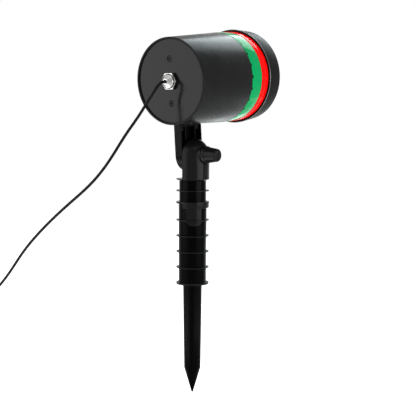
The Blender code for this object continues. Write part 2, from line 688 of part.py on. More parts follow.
def cable_gland(axis):
    """Seal, hexagon body with its thread, domed nut and lock nut, in a row through the rear cover."""
    ring("gland_seal", GLAND_THREAD_RADIUS + GAP, GLAND_SEAL_RADIUS, GLAND_FLANGE_FRONT + GAP,
         COVER_BACK - GAP, SURFACES["rubber"], parent=axis)
    body = drum("gland_body", GLAND_FLANGE_RADIUS, GLAND_FLANGE_BACK, GLAND_FLANGE_FRONT,
                SURFACES["nickel"], 6, parent=axis, rotation=(0, 0, math.radians(30)))
    fuse(body, drum("gland_thread", GLAND_THREAD_RADIUS, GLAND_FLANGE_FRONT - REACH, GLAND_INNER_END,
                    parent=axis))
    cut(body, turned("gland_chamfer", [
        (GLAND_FLANGE_RADIUS + REACH, GLAND_FLANGE_BACK + GLAND_CHAMFER, 0),
        (GLAND_FLANGE_RADIUS + REACH, GLAND_FLANGE_BACK - REACH, 0),
        (GLAND_FLANGE_RADIUS - GLAND_CHAMFER, GLAND_FLANGE_BACK - REACH, 0),
    ], None, SMALL_SIDES, parent=axis))
    cut(body, drum("gland_bore", CORD_BORE_RADIUS, GLAND_FLANGE_BACK - REACH, GLAND_INNER_END + REACH,
                   parent=axis))
    turned("gland_dome_nut", [
        (CORD_BORE_RADIUS, GLAND_FLANGE_BACK - GAP, 0),
        (GLAND_DOME_RADIUS, GLAND_FLANGE_BACK - GAP, 0.0003),
        (GLAND_SHOULDER[0], GLAND_EXIT + GLAND_SHOULDER[1], 0.0020),
        (GLAND_LIP[0], GLAND_EXIT + GLAND_LIP[1], 0.0018),
        (GLAND_MOUTH_RADIUS, GLAND_EXIT, 0.0005),
        (CORD_BORE_RADIUS, GLAND_EXIT, 0),
    ], SURFACES["nickel"], 20, parent=axis)
    nut = drum("gland_lock_nut", LOCK_NUT_RADIUS, COVER_FRONT + GAP, COVER_FRONT + GAP + LOCK_NUT_THICKNESS,
               SURFACES["nickel"], 6, parent=axis)
    cut(nut, drum("lock_nut_bore", GLAND_THREAD_RADIUS + GAP, COVER_FRONT,
                  COVER_FRONT + 2 * LOCK_NUT_THICKNESS, parent=axis))


def laser_chassis(axis):
    """Front disc with two apertures, sockets for the modules, and two posts that take the cover screws."""
    disc = turned("laser_chassis", [
        (0, CHASSIS_BACK, 0), (SPIGOT_BORE_RADIUS - GAP, CHASSIS_BACK, 0),
        (SPIGOT_BORE_RADIUS - GAP, CHASSIS_FRONT, 0), (0, CHASSIS_FRONT, 0),
    ], SURFACES["shell"], parent=axis)
    inside = CHASSIS_BACK + REACH
    post_end = COVER_FRONT + GAP
    shoulder = BOARD_STATION + BOARD_SIZE[2] + GAP
    for name, side in (("upper", -1), ("lower", 1)):
        post = turned(f"post_{name}", [
            (0, inside, 0), (POST_SHOULDER_RADIUS, inside, 0), (POST_SHOULDER_RADIUS, shoulder, 0),
            (POST_RADIUS, shoulder, 0), (POST_RADIUS, post_end, 0), (SCREW_HOLE_RADIUS, post_end, 0),
            (SCREW_HOLE_RADIUS, post_end + POST_PILOT_DEPTH, 0), (0, post_end + POST_PILOT_DEPTH, 0),
        ], None, 12, parent=axis, location=(0, side * COVER_SCREW_OFFSET, 0))
        fuse(disc, post)
    socket_radius = MODULE_RADIUS + GAP
    for name, side in (("green", -1), ("red", 1)):
        place = {"parent": axis, "location": (side * MODULE_OFFSET, 0, 0)}
        fuse(disc, ring(f"socket_{name}", socket_radius, socket_radius + MODULE_SOCKET_WALL,
                        CHASSIS_BACK - MODULE_SOCKET_LENGTH, inside, None, **place))
        cut(disc, drum(f"aperture_{name}", APERTURE_RADIUS, CHASSIS_BACK - REACH, CHASSIS_FRONT + REACH,
                       **place))
        cut(disc, drum(f"grating_seat_{name}", GRATING_RADIUS + GAP, CHASSIS_FRONT - GRATING_THICKNESS - GAP,
                       CHASSIS_FRONT + REACH, **place))


def laser_modules(axis):
    for name, side in (("green", -1), ("red", 1)):
        place = {"parent": axis, "location": (side * MODULE_OFFSET, 0, 0)}
        nose = MODULE_FRONT - MODULE_NOSE_LENGTH
        turned(f"{name}_laser_module", [
            (0, MODULE_FRONT, 0), (MODULE_NOSE_RADIUS, MODULE_FRONT, 0), (MODULE_NOSE_RADIUS, nose, 0),
            (MODULE_RADIUS, nose, 0), (MODULE_RADIUS, MODULE_BACK, 0), (0, MODULE_BACK, 0),
        ], SURFACES["brass"], 20, **place)
        drum(f"{name}_grating", GRATING_RADIUS, CHASSIS_FRONT - GRATING_THICKNESS, CHASSIS_FRONT,
             SURFACES["grating"], **place)


def heat_sink(axis):
    """A finned aluminium block that both laser modules pass through."""
    width, height, length = HEAT_SINK_SIZE
    low = HEAT_SINK_STATION
    sink = block("heat_sink", (-width / 2, -height / 2, low), (width / 2, height / 2, low + length),
                 SURFACES["aluminium"], parent=axis)
    slots = int((width / 2 - HEAT_SINK_SLOT_WIDTH) / HEAT_SINK_FIN_PITCH)
    for index in range(-slots, slots + 1):
        for side in (-1, 1):
            across = index * HEAT_SINK_FIN_PITCH
            edges = sorted((side * (height / 2 - HEAT_SINK_SLOT_DEPTH), side * (height / 2 + REACH)))
            slot = block(f"sink_slot_{index + slots}_{'low' if side < 0 else 'high'}",
                         (across - HEAT_SINK_SLOT_WIDTH / 2, edges[0], low - REACH),
                         (across + HEAT_SINK_SLOT_WIDTH / 2, edges[1], low + length + REACH), parent=axis)
            cut(sink, slot)
    for name, side in (("green", -1), ("red", 1)):
        cut(sink, drum(f"sink_bore_{name}", MODULE_RADIUS + GAP, low - REACH, low + length + REACH,
                       parent=axis, location=(side * MODULE_OFFSET, 0, 0)))


def driver_board(axis):
    """The laser driver board on the chassis posts, its parts, and the push-on rings that hold it."""
    width, height, thickness = BOARD_SIZE
    low = BOARD_STATION
    board = block("driver_board", (-width / 2, -height / 2, low), (width / 2, height / 2, low + thickness),
                  SURFACES["board"], parent=axis)
    sunk = low + BOARD_PART_SINK
    x, y = CONNECTOR_PLACE
    half_x, half_y = CONNECTOR_SIZE[0] / 2, CONNECTOR_SIZE[1] / 2
    fuse(board, block("connector", (x - half_x, y - half_y, low - CONNECTOR_SIZE[2]),
                      (x + half_x, y + half_y, sunk), parent=axis))
    for index, (x, y) in enumerate(CHIP_PLACES):
        half_x, half_y = CHIP_SIZE[0] / 2, CHIP_SIZE[1] / 2
        fuse(board, block(f"chip_{index}", (x - half_x, y - half_y, low - CHIP_SIZE[2]),
                          (x + half_x, y + half_y, sunk), parent=axis))
    fuse(board, drum("capacitor", CAPACITOR_RADIUS, low - CAPACITOR_HEIGHT, sunk,
                     parent=axis, location=(*CAPACITOR_PLACE, 0)))
    for name, side in (("upper", -1), ("lower", 1)):
        place = {"parent": axis, "location": (0, side * COVER_SCREW_OFFSET, 0)}
        cut(board, drum(f"board_hole_{name}", POST_RADIUS + GAP, low - REACH, low + thickness + REACH,
                        **place))
        ring(f"board_retainer_{name}", POST_RADIUS + GAP, RETAINER_RADIUS, low - GAP - RETAINER_THICKNESS,
             low - GAP, SURFACES["steel"], **place)


def inner_leads(axis):
    """The cord's end inside the barrel, and a short lead from the board to each laser module."""
    x, y = CONNECTOR_PLACE
    start = GLAND_EXIT + GLAND_DOME_LENGTH / 2 + GAP
    end = BOARD_STATION - CONNECTOR_SIZE[2] - GAP
    straight = GLAND_INNER_END + INNER_LEAD_STRAIGHT
    route = [(0, 0, start), (0, 0, (start + straight) / 2), (0, 0, straight)]
    route += [(across, down, straight + share * (end - straight)) for share, across, down in INNER_LEAD_BENDS]
    route += [(x, y, end - INNER_LEAD_END), (x, y, end)]
    tube("inner_lead", smooth_path(route, 14), INNER_LEAD_DIAMETER, SURFACES["cord"], parent=axis)
    for name, side in (("green", -1), ("red", 1)):
        across = side * MODULE_OFFSET
        board_face = BOARD_STATION + BOARD_SIZE[2] + GAP
        back = MODULE_BACK - GAP
        middle = (board_face + back) / 2
        route = [(across, 0, back), (across, MODULE_LEAD_BOW, middle), (across, 0, board_face)]
        tube(f"{name}_module_lead", smooth_path(route, 4), MODULE_LEAD_DIAMETER, SURFACES[name], parent=axis)


def arm_outline(half_width, top, steps=22):
    """Outline of the arm in the head's YZ plane: round about the pivot, straight up to the barrel."""
    arc = [math.pi * (1 + step / steps) for step in range(steps + 1)]
    points = [(half_width * math.cos(angle), half_width * math.sin(angle)) for angle in arc]
    return points + [(half_width, top), (-half_width, top)]


def tilt_arm(head, axis):
    """The moulded arm: an open pocket with two ribs, a boss round the bolt, and a saddle under the barrel."""
    across = {"parent": head, "rotation": IN_YZ}
    along_bolt = {"parent": head, "rotation": ALONG_X}
    top = SADDLE_REACH
    floor = ARM_OUTER_FACE + ARM_FLOOR
    arm = plate("tilt_arm", arm_outline(ARM_HALF_WIDTH, top), ARM_OUTER_FACE, ARM_INNER_FACE,
                SURFACES["stake"], **across)
    cut(arm, plate("arm_pocket", arm_outline(ARM_HALF_WIDTH - ARM_WALL, ARM_WEB_HEIGHT),
                   floor, ARM_INNER_FACE + REACH, **across))
    fuse(arm, drum("arm_boss", ARM_BOSS_RADIUS, ARM_OUTER_FACE + ARM_FLOOR / 2, -GAP, sides=32, **along_bolt))
    for name, side in (("rear", -1), ("front", 1)):
        rib_back = side * ARM_RIB_OFFSET - ARM_RIB_THICKNESS / 2
        rib_front = side * ARM_RIB_OFFSET + ARM_RIB_THICKNESS / 2
        fuse(arm, block(f"arm_rib_{name}", (floor - ARM_FLOOR / 2, rib_back, ARM_BOSS_RADIUS / 2),
                        (ARM_INNER_FACE - ARM_RIB_DEPTH, rib_front, ARM_WEB_HEIGHT + REACH), parent=head))
        place = {"parent": head, "location": (arm_middle(), side * ARM_SCREW_SPACING / 2, 0)}
        boss_foot = ARM_WEB_HEIGHT - ARM_SCREW_BOSS_LENGTH
        fuse(arm, drum(f"arm_screw_boss_{name}", ARM_SCREW_BOSS_RADIUS, boss_foot,
                       ARM_WEB_HEIGHT + REACH, **place))
        cut(arm, drum(f"arm_pilot_{name}", SCREW_HOLE_RADIUS, boss_foot - REACH, top, **place))
    cut(arm, drum("bolt_head_pocket", BOLT_HEAD_RADIUS + GAP / math.cos(math.radians(30)),
                  ARM_OUTER_FACE - REACH, BOLT_HEAD_SEAT + GAP, sides=6, **along_bolt))
    cut(arm, drum("arm_bore", PIVOT_BORE_RADIUS, ARM_OUTER_FACE, REACH, **along_bolt))
    back, front = -ARM_HALF_WIDTH - REACH, ARM_HALF_WIDTH + REACH
    cut(arm, turned("saddle", [
        (0, front, 0), (barrel_radius(front) + GAP, front, 0),
        (barrel_radius(back) + GAP, back, 0), (0, back, 0),
    ], None, 96, parent=axis))


def arm_screws(head):
    """Screws from inside the barrel down into the arm's web."""
    for name, side in (("rear", -1), ("front", 1)):
        along = side * ARM_SCREW_SPACING / 2
        bore = barrel_radius(along) - BARREL_WALL
        far_edge = abs(arm_middle()) + SCREW_HEAD_RADIUS
        seat = BARREL_AXIS_HEIGHT - math.sqrt(bore**2 - far_edge**2) + 2 * GAP
        top = seat + SCREW_HEAD_THICKNESS
        turned(f"arm_screw_{name}", [
            (0, top, 0), (SCREW_HEAD_RADIUS, top, SCREW_HEAD_FILLET), (SCREW_HEAD_RADIUS, seat, 0),
            (SCREW_RADIUS, seat, 0), (SCREW_RADIUS, seat - ARM_SCREW_LENGTH, 0),
            (0, seat - ARM_SCREW_LENGTH, 0),
        ], SURFACES["steel"], SMALL_SIDES, parent=head, location=(arm_middle(), along, 0))


def pivot_hardware(head, pivot):
    """The captive bolt, the washers either side of the neck, and the clamping knob with its insert."""
    bolt = drum("pivot_bolt", BOLT_HEAD_RADIUS, BOLT_HEAD_SEAT - BOLT_HEAD_THICKNESS, BOLT_HEAD_SEAT,
                SURFACES["steel"], 6, parent=head, rotation=ALONG_X)
    root = BOLT_HEAD_SEAT - REACH
    fuse(bolt, turned("bolt_shank", [
        (0, root, 0), (BOLT_RADIUS, root, 0), (BOLT_RADIUS, BOLT_END, BOLT_END_CHAMFER), (0, BOLT_END, 0),
    ], None, SMALL_SIDES, parent=head, rotation=ALONG_X))
    ring("friction_washer", PIVOT_BORE_RADIUS + GAP, FRICTION_WASHER_RADIUS, 0, FRICTION_WASHER_THICKNESS,
         SURFACES["rubber"], 20, parent=pivot)
    ring("clamp_washer", PIVOT_BORE_RADIUS, CLAMP_WASHER_RADIUS, CLAMP_WASHER_BACK,
         CLAMP_WASHER_BACK + CLAMP_WASHER_THICKNESS, SURFACES["rubber"], 20, parent=pivot)
    ring("knob_insert", BOLT_RADIUS + THREAD_GAP, INSERT_RADIUS, KNOB_BACK + GAP,
         KNOB_BACK + GAP + INSERT_LENGTH, SURFACES["brass"], parent=pivot)
    flange_end = KNOB_BACK + KNOB_FLANGE_LENGTH
    insert_end = KNOB_BACK + INSERT_LENGTH + 2 * GAP
    hole_end = KNOB_END - KNOB_END_WALL
    turned("clamp_knob", [
        (INSERT_RADIUS + GAP, KNOB_BACK, 0),
        (KNOB_FLANGE_RADIUS, KNOB_BACK, KNOB_FLANGE_FILLET),
        (KNOB_NECK_RADIUS, flange_end, 0),
        (KNOB_NECK_RADIUS - KNOB_STEP, flange_end + KNOB_STEP_LENGTH, 0),
        (KNOB_END_RADIUS, KNOB_END, KNOB_END_FILLET),
        (KNOB_DISH_RADIUS, KNOB_END, 0),
        (KNOB_DISH_FLOOR_RADIUS, KNOB_END - KNOB_DISH_DEPTH, 0),
        (0, KNOB_END - KNOB_DISH_DEPTH, 0),
        (0, hole_end, 0),
        (BOLT_RADIUS + THREAD_GAP, hole_end, 0),
        (BOLT_RADIUS + THREAD_GAP, insert_end, 0),
        (INSERT_RADIUS + GAP, insert_end, 0),
    ], SURFACES["stake"], 24, parent=pivot)


def capsule(name, radius, low, top, sides=STAKE_SIDES, steps=7):
    """A cylinder up to a height, closed there by a half sphere."""
    arc = [math.pi / 2 * step / steps for step in range(steps + 1)]
    dome = [(radius * math.sin(angle), top + radius * math.cos(angle), 0) for angle in arc]
    return turned(name, [*dome, (radius, low, 0), (0, low, 0)], None, sides)


def fin(radius, height):
    """Corners of one thin tapering fin on a sleeve, from its root's top to its root's foot."""
    root, edge = FIN_ROOT_THICKNESS / 2, FIN_EDGE_THICKNESS / 2
    return [
        (radius, height + root, 0), (FIN_RADIUS, height + edge, 0),
        (FIN_RADIUS, height - edge, 0), (radius, height - root, 0),
    ]


def upper_stake(pivot):
    """The half-round domed neck on its finned sleeve, with the cross-shaped plug below."""
    bottom = STAKE_TOP + GAP
    sleeve = [(0, NECK_BASE + FIN_EDGE_THICKNESS / 2, 0), (FIN_RADIUS, NECK_BASE + FIN_EDGE_THICKNESS / 2, 0)]
    sleeve += [(FIN_RADIUS, NECK_BASE - FIN_EDGE_THICKNESS / 2, 0)]
    sleeve += [(SLEEVE_RADIUS, NECK_BASE - FIN_ROOT_THICKNESS, 0)]
    for height in UPPER_FINS:
        sleeve += fin(SLEEVE_RADIUS, height)
    roof = NECK_BASE - SLEEVE_ROOF
    sleeve += [
        (SLEEVE_RADIUS, bottom, 0), (SLEEVE_BORE_RADIUS, bottom, 0),
        (SLEEVE_BORE_RADIUS, roof, 0), (0, roof, 0),
    ]
    stake = turned("upper_stake", sleeve, SURFACES["stake"], STAKE_SIDES)
    neck = capsule("neck", NECK_RADIUS, NECK_BASE - FIN_EDGE_THICKNESS / 4, PIVOT_HEIGHT)
    far = 2 * NECK_RADIUS
    across = {"parent": pivot}
    cut(neck, block("neck_half", (-far, -far, 0), (0, far, PIVOT_HEIGHT + far)))
    cut(neck, drum("spot_face", KNOB_BOSS_RADIUS + SPOT_FACE_MARGIN, KNOB_BOSS_END - SPOT_FACE_STEP, far,
                   sides=40, **across))
    fuse(stake, neck)
    core = capsule("neck_core", NECK_RADIUS - NECK_WALL, NECK_BASE + NECK_WALL, PIVOT_HEIGHT, 24, 5)
    cut(core, drum("neck_boss", NECK_BOSS_RADIUS, -REACH, far, sides=32, **across))
    cut(core, block("neck_rib", (-REACH, -NECK_RIB_THICKNESS / 2, 0),
                    (far, NECK_RIB_THICKNESS / 2, PIVOT_HEIGHT)))
    cut(core, block("core_half", (-far, -far, 0), (-REACH / 2, far, PIVOT_HEIGHT + far)))
    cut(stake, core)
    fuse(stake, drum("knob_boss", KNOB_BOSS_RADIUS, KNOB_BOSS_ROOT, KNOB_BOSS_END, sides=40, **across))
    cut(stake, drum("friction_seat", FRICTION_WASHER_RADIUS + GAP, -REACH, FRICTION_WASHER_THICKNESS + GAP,
                    sides=32, **across))
    cut(stake, drum("neck_bore", PIVOT_BORE_RADIUS, -REACH, KNOB_BOSS_END + REACH, **across))
    plug_end = STAKE_TOP - PLUG_LENGTH
    reach = SOCKET_BORE_RADIUS - GAP
    for name, angle in (("x", 0), ("y", math.radians(90))):
        rib = [(-reach, roof + REACH, 0), (-reach, plug_end, PLUG_CHAMFER), (reach, plug_end, PLUG_CHAMFER),
               (reach, roof + REACH, 0)]
        fuse(stake, plate(f"plug_rib_{name}", [(p.x, p.y) for p in rounded(rib, steps=1)],
                          -PLUG_RIB_THICKNESS / 2, PLUG_RIB_THICKNESS / 2,
                          rotation=(math.radians(90), 0, angle)))


def lower_stake():
    """The finned socket with its half collar and two catch pads, and the round spike below the stop."""
    bore_end = STAKE_TOP - SOCKET_DEPTH
    outline = [
        (0, bore_end, 0), (SOCKET_BORE_RADIUS, bore_end, 0), (SOCKET_BORE_RADIUS, STAKE_TOP, 0),
        (FIN_RADIUS, STAKE_TOP, 0), (FIN_RADIUS, STAKE_TOP - STOP_THICKNESS, 0),
        (SOCKET_RADIUS, STAKE_TOP - STOP_THICKNESS - STOP_BEVEL, 0),
    ]
    for height in LOWER_FINS:
        outline += fin(SOCKET_RADIUS, height)
    outline += [
        (SOCKET_RADIUS, STOP_HEIGHT + STOP_THICKNESS + STOP_BEVEL, 0),
        (FIN_RADIUS, STOP_HEIGHT + STOP_THICKNESS, 0),
        (FIN_RADIUS, STOP_HEIGHT, 0), (SPIKE_TOP_RADIUS, STOP_HEIGHT, 0),
        (SPIKE_FOOT_RADIUS, SPIKE_FOOT_HEIGHT, SPIKE_FOOT_FILLET), (SPIKE_TIP_RADIUS, 0, SPIKE_TIP_FILLET),
        (0, 0, 0),
    ]
    stake = turned("lower_stake", outline, SURFACES["stake"], STAKE_SIDES)
    inner = (SOCKET_RADIUS + SOCKET_BORE_RADIUS) / 2
    top = STAKE_TOP - STOP_THICKNESS / 2
    collar = turned("half_collar", [
        (inner, top, 0), (COLLAR_RADIUS, top, 0), (COLLAR_RADIUS, COLLAR_BOTTOM, COLLAR_CHAMFER),
        (inner, COLLAR_BOTTOM, 0),
    ], None, STAKE_SIDES)
    far = 2 * COLLAR_RADIUS
    keep(collar, block("collar_side", (0, -far, COLLAR_BOTTOM - far), (far, far, STAKE_TOP + far)))
    fuse(stake, collar)
    for index, angle in enumerate(CATCH_ANGLES):
        pad = ring(f"catch_{index}", inner, CATCH_RADIUS, CATCH_BOTTOM, COLLAR_BOTTOM + REACH, None,
                   STAKE_SIDES)
        side = [(-CATCH_HALF_WIDTH, STAKE_TOP, 0), (-CATCH_HALF_WIDTH, CATCH_BOTTOM, CATCH_FILLET),
                (CATCH_HALF_WIDTH, CATCH_BOTTOM, CATCH_FILLET), (CATCH_HALF_WIDTH, STAKE_TOP, 0)]
        pad_outline = [(p.x, p.y) for p in rounded(side, steps=5)]
        keep(pad, plate(f"catch_outline_{index}", pad_outline, inner / 2, far,
                        rotation=(math.radians(90), 0, angle + math.radians(90))))
        fuse(stake, pad)


def cord_start():
    """Where the cord leaves the gland, its direction, and its end inside the domed nut."""
    out = Vector((0, -math.cos(TILT), -math.sin(TILT)))
    up = Vector((0, -math.sin(TILT), math.cos(TILT)))
    on_axis = Vector((0, 0, PIVOT_HEIGHT)) + up * BARREL_AXIS_HEIGHT
    return on_axis - out * (GLAND_EXIT + GLAND_DOME_LENGTH / 2), on_axis - out * GLAND_EXIT, out


def coil_path():
    """The coil's centre line: it winds in and out by turns, and climbs a layer in each half turn between."""
    climbs = COIL_LAYERS - 1
    layer_turns = (COIL_TURNS - climbs / 2) / COIL_LAYERS
    width = layer_turns * COIL_PITCH
    start_angle = -math.pi / 2
    points = []
    for step in range(round(COIL_TURNS * COIL_POINTS_PER_TURN) + 1):
        turn = step / COIL_POINTS_PER_TURN
        layer, rest = divmod(turn, layer_turns + 0.5)
        climb = min(max((rest - layer_turns) / 0.5, 0), 1)
        inward = rest if rest < layer_turns + 0.25 else 2 * (layer_turns + 0.25) - rest
        inward = inward if layer % 2 == 0 else layer_turns - inward
        radius = COIL_MEAN_RADIUS + width / 2 - inward * COIL_PITCH
        height = COIL_HEIGHT + (layer + climb * climb * (3 - 2 * climb)) * COIL_PITCH
        angle = start_angle - turn * math.tau
        points.append((radius * math.cos(angle), radius * math.sin(angle), height))
    points = np.array(points) + (*COIL_CENTRE, 0)
    return np.concatenate([
        points[:1] + (CORD_DIAMETER, 0, 0), points, points[-1:] + (0, COIL_TAIL, 0),
    ])


def report_coil_gap(points):
    """Prints the least gap between one turn and any other, over points more than half a turn apart."""
    apart = np.linalg.norm(points[:, None] - points[None], axis=2)
    index = np.arange(len(points))
    near = np.abs(index[:, None] - index[None]) < COIL_POINTS_PER_TURN / 2
    apart[near] = np.inf
    print(f"coil: least gap to itself {1000 * (apart.min() - CORD_DIAMETER):.2f} mm")


def power_cord():
    """The free cord from the gland to the ground, and the coil of its put-away length."""
    end_inside, exit_point, out = cord_start()
    coil = coil_path()
    report_coil_gap(coil)
    meet = Vector(coil[0]) + Vector((GAP, 0, 0))
    route = [end_inside, exit_point, *CORD_ROUTE, meet + Vector((2 * CORD_DIAMETER, 0, 0)), meet]
    tube("power_cord", smooth_path(route, CORD_POINT_COUNT), CORD_DIAMETER, SURFACES["cord"])
    tube("cord_coil", coil, CORD_DIAMETER, SURFACES["cord"], resolution=1)


def coil_tie():
    """A thin strap round the coil's turns, at one side. The inner turns curve in at its edges."""
    layer_turns = (COIL_TURNS - (COIL_LAYERS - 1) / 2) / COIL_LAYERS
    half = layer_turns * COIL_PITCH / 2 + COIL_PITCH / 4 + CORD_DIAMETER / 2
    inner = math.sqrt((COIL_MEAN_RADIUS - half) ** 2 - (TIE_WIDTH / 2) ** 2) - TIE_CLEARANCE
    outer = COIL_MEAN_RADIUS + half + TIE_CLEARANCE
    low = COIL_HEIGHT - CORD_DIAMETER / 2 - TIE_CLEARANCE
    high = COIL_HEIGHT + (COIL_LAYERS - 1) * COIL_PITCH + CORD_DIAMETER / 2 + TIE_CLEARANCE
    place = {"location": (*COIL_CENTRE, 0), "rotation": (0, 0, TIE_ANGLE)}
    wall = TIE_THICKNESS
    tie = block("coil_tie", (inner - wall, -TIE_WIDTH / 2, low - wall),
                (outer + wall, TIE_WIDTH / 2, high + wall), SURFACES["rubber"], **place)
    cut(tie, block("tie_inside", (inner, -TIE_WIDTH, low), (outer, TIE_WIDTH, high), **place))


def adapter():
    """The plug-in adapter beside the coil: strain relief, housing and two flat blades that point away."""
    tail = Vector(coil_path()[-1])
    width, length, height = ADAPTER_SIZE
    start = tail.y + GAP
    body = start + RELIEF_LENGTH + GAP
    turned("adapter_strain_relief", [
        (0, 0, 0), (RELIEF_FRONT_RADIUS, 0, RELIEF_FILLET),
        (RELIEF_BACK_RADIUS, RELIEF_LENGTH, 0), (0, RELIEF_LENGTH, 0),
    ], SURFACES["rubber"], SMALL_SIDES, location=(tail.x, start, tail.z), rotation=(math.radians(-90), 0, 0))
    low = GAP
    block("adapter_housing", (tail.x - width / 2, body, low),
          (tail.x + width / 2, body + length, low + height), SURFACES["shell"], ADAPTER_FILLET)
    blade_length, blade_width, blade_thickness = BLADE_SIZE
    outer = tail.x - width / 2 - GAP
    middle_y = body + length / 2
    middle_z = low + height / 2
    for name, side in (("near", -1), ("far", 1)):
        across = middle_y + side * BLADE_SPACING / 2
        block(f"adapter_blade_{name}",
              (outer - blade_length, across - blade_thickness / 2, middle_z - blade_width / 2),
              (outer, across + blade_thickness / 2, middle_z + blade_width / 2), SURFACES["steel"])


def settle(parts):
    """Applies each piece's modifiers, and shades its round faces smooth."""
    bpy.context.view_layer.update()
    graph = bpy.context.evaluated_depsgraph_get()
    meshes = {}
    for piece in parts:
        if piece.type == "MESH":
            meshes[piece] = bpy.data.meshes.new_from_object(piece.evaluated_get(graph))
    for piece, mesh in meshes.items():
        surface = piece.data.materials[0]
        piece.modifiers.clear()
        piece.data = mesh
        mesh.materials.clear()
        mesh.materials.append(surface)
        mesh.shade_smooth()
        mesh.set_sharp_from_angle(angle=math.radians(30))


clear_scene()
PARTS = new_collection(NAME)
TOOLS = new_collection("cutters")
TOOLS.hide_render = True
SURFACES = shared_materials()

tilt_axis = frame("tilt_axis", location=(0, 0, PIVOT_HEIGHT), rotation=(TILT, 0, 0))
barrel_axis = frame("barrel_axis", tilt_axis, (0, 0, BARREL_AXIS_HEIGHT), (math.radians(-90), 0, 0))
knob_axis = frame("knob_axis", location=(0, 0, PIVOT_HEIGHT), rotation=(0, math.radians(90), 0))

barrel_housing(barrel_axis, tilt_axis)
bands_and_bezel(barrel_axis)
window_stack(barrel_axis)
rear_cover(barrel_axis)
cable_gland(barrel_axis)
laser_chassis(barrel_axis)
laser_modules(barrel_axis)
heat_sink(barrel_axis)
driver_board(barrel_axis)
inner_leads(barrel_axis)
tilt_arm(tilt_axis, barrel_axis)
arm_screws(tilt_axis)
pivot_hardware(tilt_axis, knob_axis)
upper_stake(knob_axis)
lower_stake()
power_cord()
coil_tie()
adapter()
settle(PARTS.objects)
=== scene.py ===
import json
import math

import bmesh
import bpy
import numpy as np
from mathutils import Matrix, Vector

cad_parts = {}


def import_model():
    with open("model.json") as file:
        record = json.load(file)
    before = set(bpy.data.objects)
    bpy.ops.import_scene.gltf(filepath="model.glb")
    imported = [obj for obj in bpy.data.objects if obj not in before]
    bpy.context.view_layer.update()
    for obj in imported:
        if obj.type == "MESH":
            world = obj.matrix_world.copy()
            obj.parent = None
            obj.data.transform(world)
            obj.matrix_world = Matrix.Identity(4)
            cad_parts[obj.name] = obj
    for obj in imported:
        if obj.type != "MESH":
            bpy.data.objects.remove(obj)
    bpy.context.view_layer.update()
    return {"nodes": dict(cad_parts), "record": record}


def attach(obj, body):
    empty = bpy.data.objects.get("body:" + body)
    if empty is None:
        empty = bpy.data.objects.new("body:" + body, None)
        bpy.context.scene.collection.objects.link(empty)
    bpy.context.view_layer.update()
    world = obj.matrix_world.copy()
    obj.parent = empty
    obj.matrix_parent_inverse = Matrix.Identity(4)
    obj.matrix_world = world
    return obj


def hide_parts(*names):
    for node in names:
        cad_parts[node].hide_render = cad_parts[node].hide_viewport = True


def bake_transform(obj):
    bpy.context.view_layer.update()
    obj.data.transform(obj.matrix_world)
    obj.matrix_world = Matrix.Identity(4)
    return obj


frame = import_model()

NODES = frame["nodes"]
BODY_OF = {node: body for body, nodes in frame["record"]["behaviour"]["bodies"].items() for node in nodes}
SLOT_OF = {entry["node"]: entry["material_slot"] for entry in frame["record"]["subparts"]}

# Lengths are in metres and angles in radians, where nothing else is said
GAP = 0.0003
PIVOT_HEIGHT = 0.255
TILT = math.radians(4.66)
BARREL_AXIS_HEIGHT = 0.078

# The camera, fitted to the photograph's outlines, with its lens and sensor in millimetres
CAMERA_PLACE = (0.633155, -0.773764, 0.294259)
CAMERA_RIGHT = (0.783865, 0.620918, 0.003916)
CAMERA_UP = (-0.062204, 0.072250, 0.995445)
CAMERA_LENS = 82.21
CAMERA_SENSOR = 36
CAMERA_CLIP = 0.01

# The cord's free route and its put-away coil
CORD_DIAMETER = 0.00295
CORD_POINT_COUNT = 66
CORD_ROUTE = (
    (-0.0006, -0.0500, 0.3287),
    (-0.0019, -0.0551, 0.3234),
    (-0.0100, -0.0589, 0.3101),
    (-0.0173, -0.0653, 0.2946),
    (-0.0251, -0.0735, 0.2785),
    (-0.0382, -0.0819, 0.2543),
    (-0.0576, -0.0884, 0.2295),
    (-0.0874, -0.0963, 0.2037),
    (-0.1178, -0.1039, 0.1771),
    (-0.1431, -0.1103, 0.1500),
    (-0.1639, -0.1155, 0.1226),
    (-0.1860, -0.1205, 0.0990),
    (-0.2120, -0.1265, 0.0690),
    (-0.2370, -0.1325, 0.0380),
    (-0.2570, -0.1365, 0.0170),
    (-0.2780, -0.1378, 0.0062),
)
COIL_CENTRE = (-0.3080, -0.1120)
COIL_TURNS = 16.25
COIL_LAYERS = 4
COIL_CLIMB_TURNS = 0.5
COIL_POINTS_PER_TURN = 24
COIL_PITCH = 0.00347
COIL_MEAN_RADIUS = 0.0177
COIL_HEIGHT = 0.0025
COIL_TAIL = 0.0180

# Stations along the barrel's axis, from the pivot towards the window
BARREL_BACK = -0.0312
COVER_LEDGE_BACK = -0.0250
COVER_LEDGE_FRONT = -0.0228
WALL_END = 0.0440
SHOULDER = 0.0464
GREEN_BACK = 0.0467
RED_BACK = 0.0636
BEZEL_BACK = 0.0749
CHASSIS_LEDGE_BACK = 0.0755
CHASSIS_LEDGE_FRONT = 0.0777
SPIGOT_END = 0.0840
WINDOW_BACK = 0.0856
BEZEL_LEDGE = 0.0889
BEZEL_FRONT = 0.0967

# Radii round the barrel's axis
BARREL_BACK_RADIUS = 0.0445
BARREL_FRONT_RADIUS = 0.0479
RIM_INNER = 0.0425
COVER_LEDGE_BORE = 0.0406
WALL_END_INNER = 0.0454
SPIGOT_RADIUS = 0.0456
SPIGOT_BORE = 0.0432
CHASSIS_LEDGE_BORE = SPIGOT_BORE - 0.0024
BAND_RADIUS = 0.0480
RED_BAND_RADIUS = BAND_RADIUS + 0.0003
BEZEL_BORE = 0.0459
BEZEL_BACK_RADIUS = 0.05085
BEZEL_FRONT_RADIUS = 0.0488
BEZEL_OPENING_RADIUS = 0.0432
BEZEL_OPENING_INNER = 0.0415

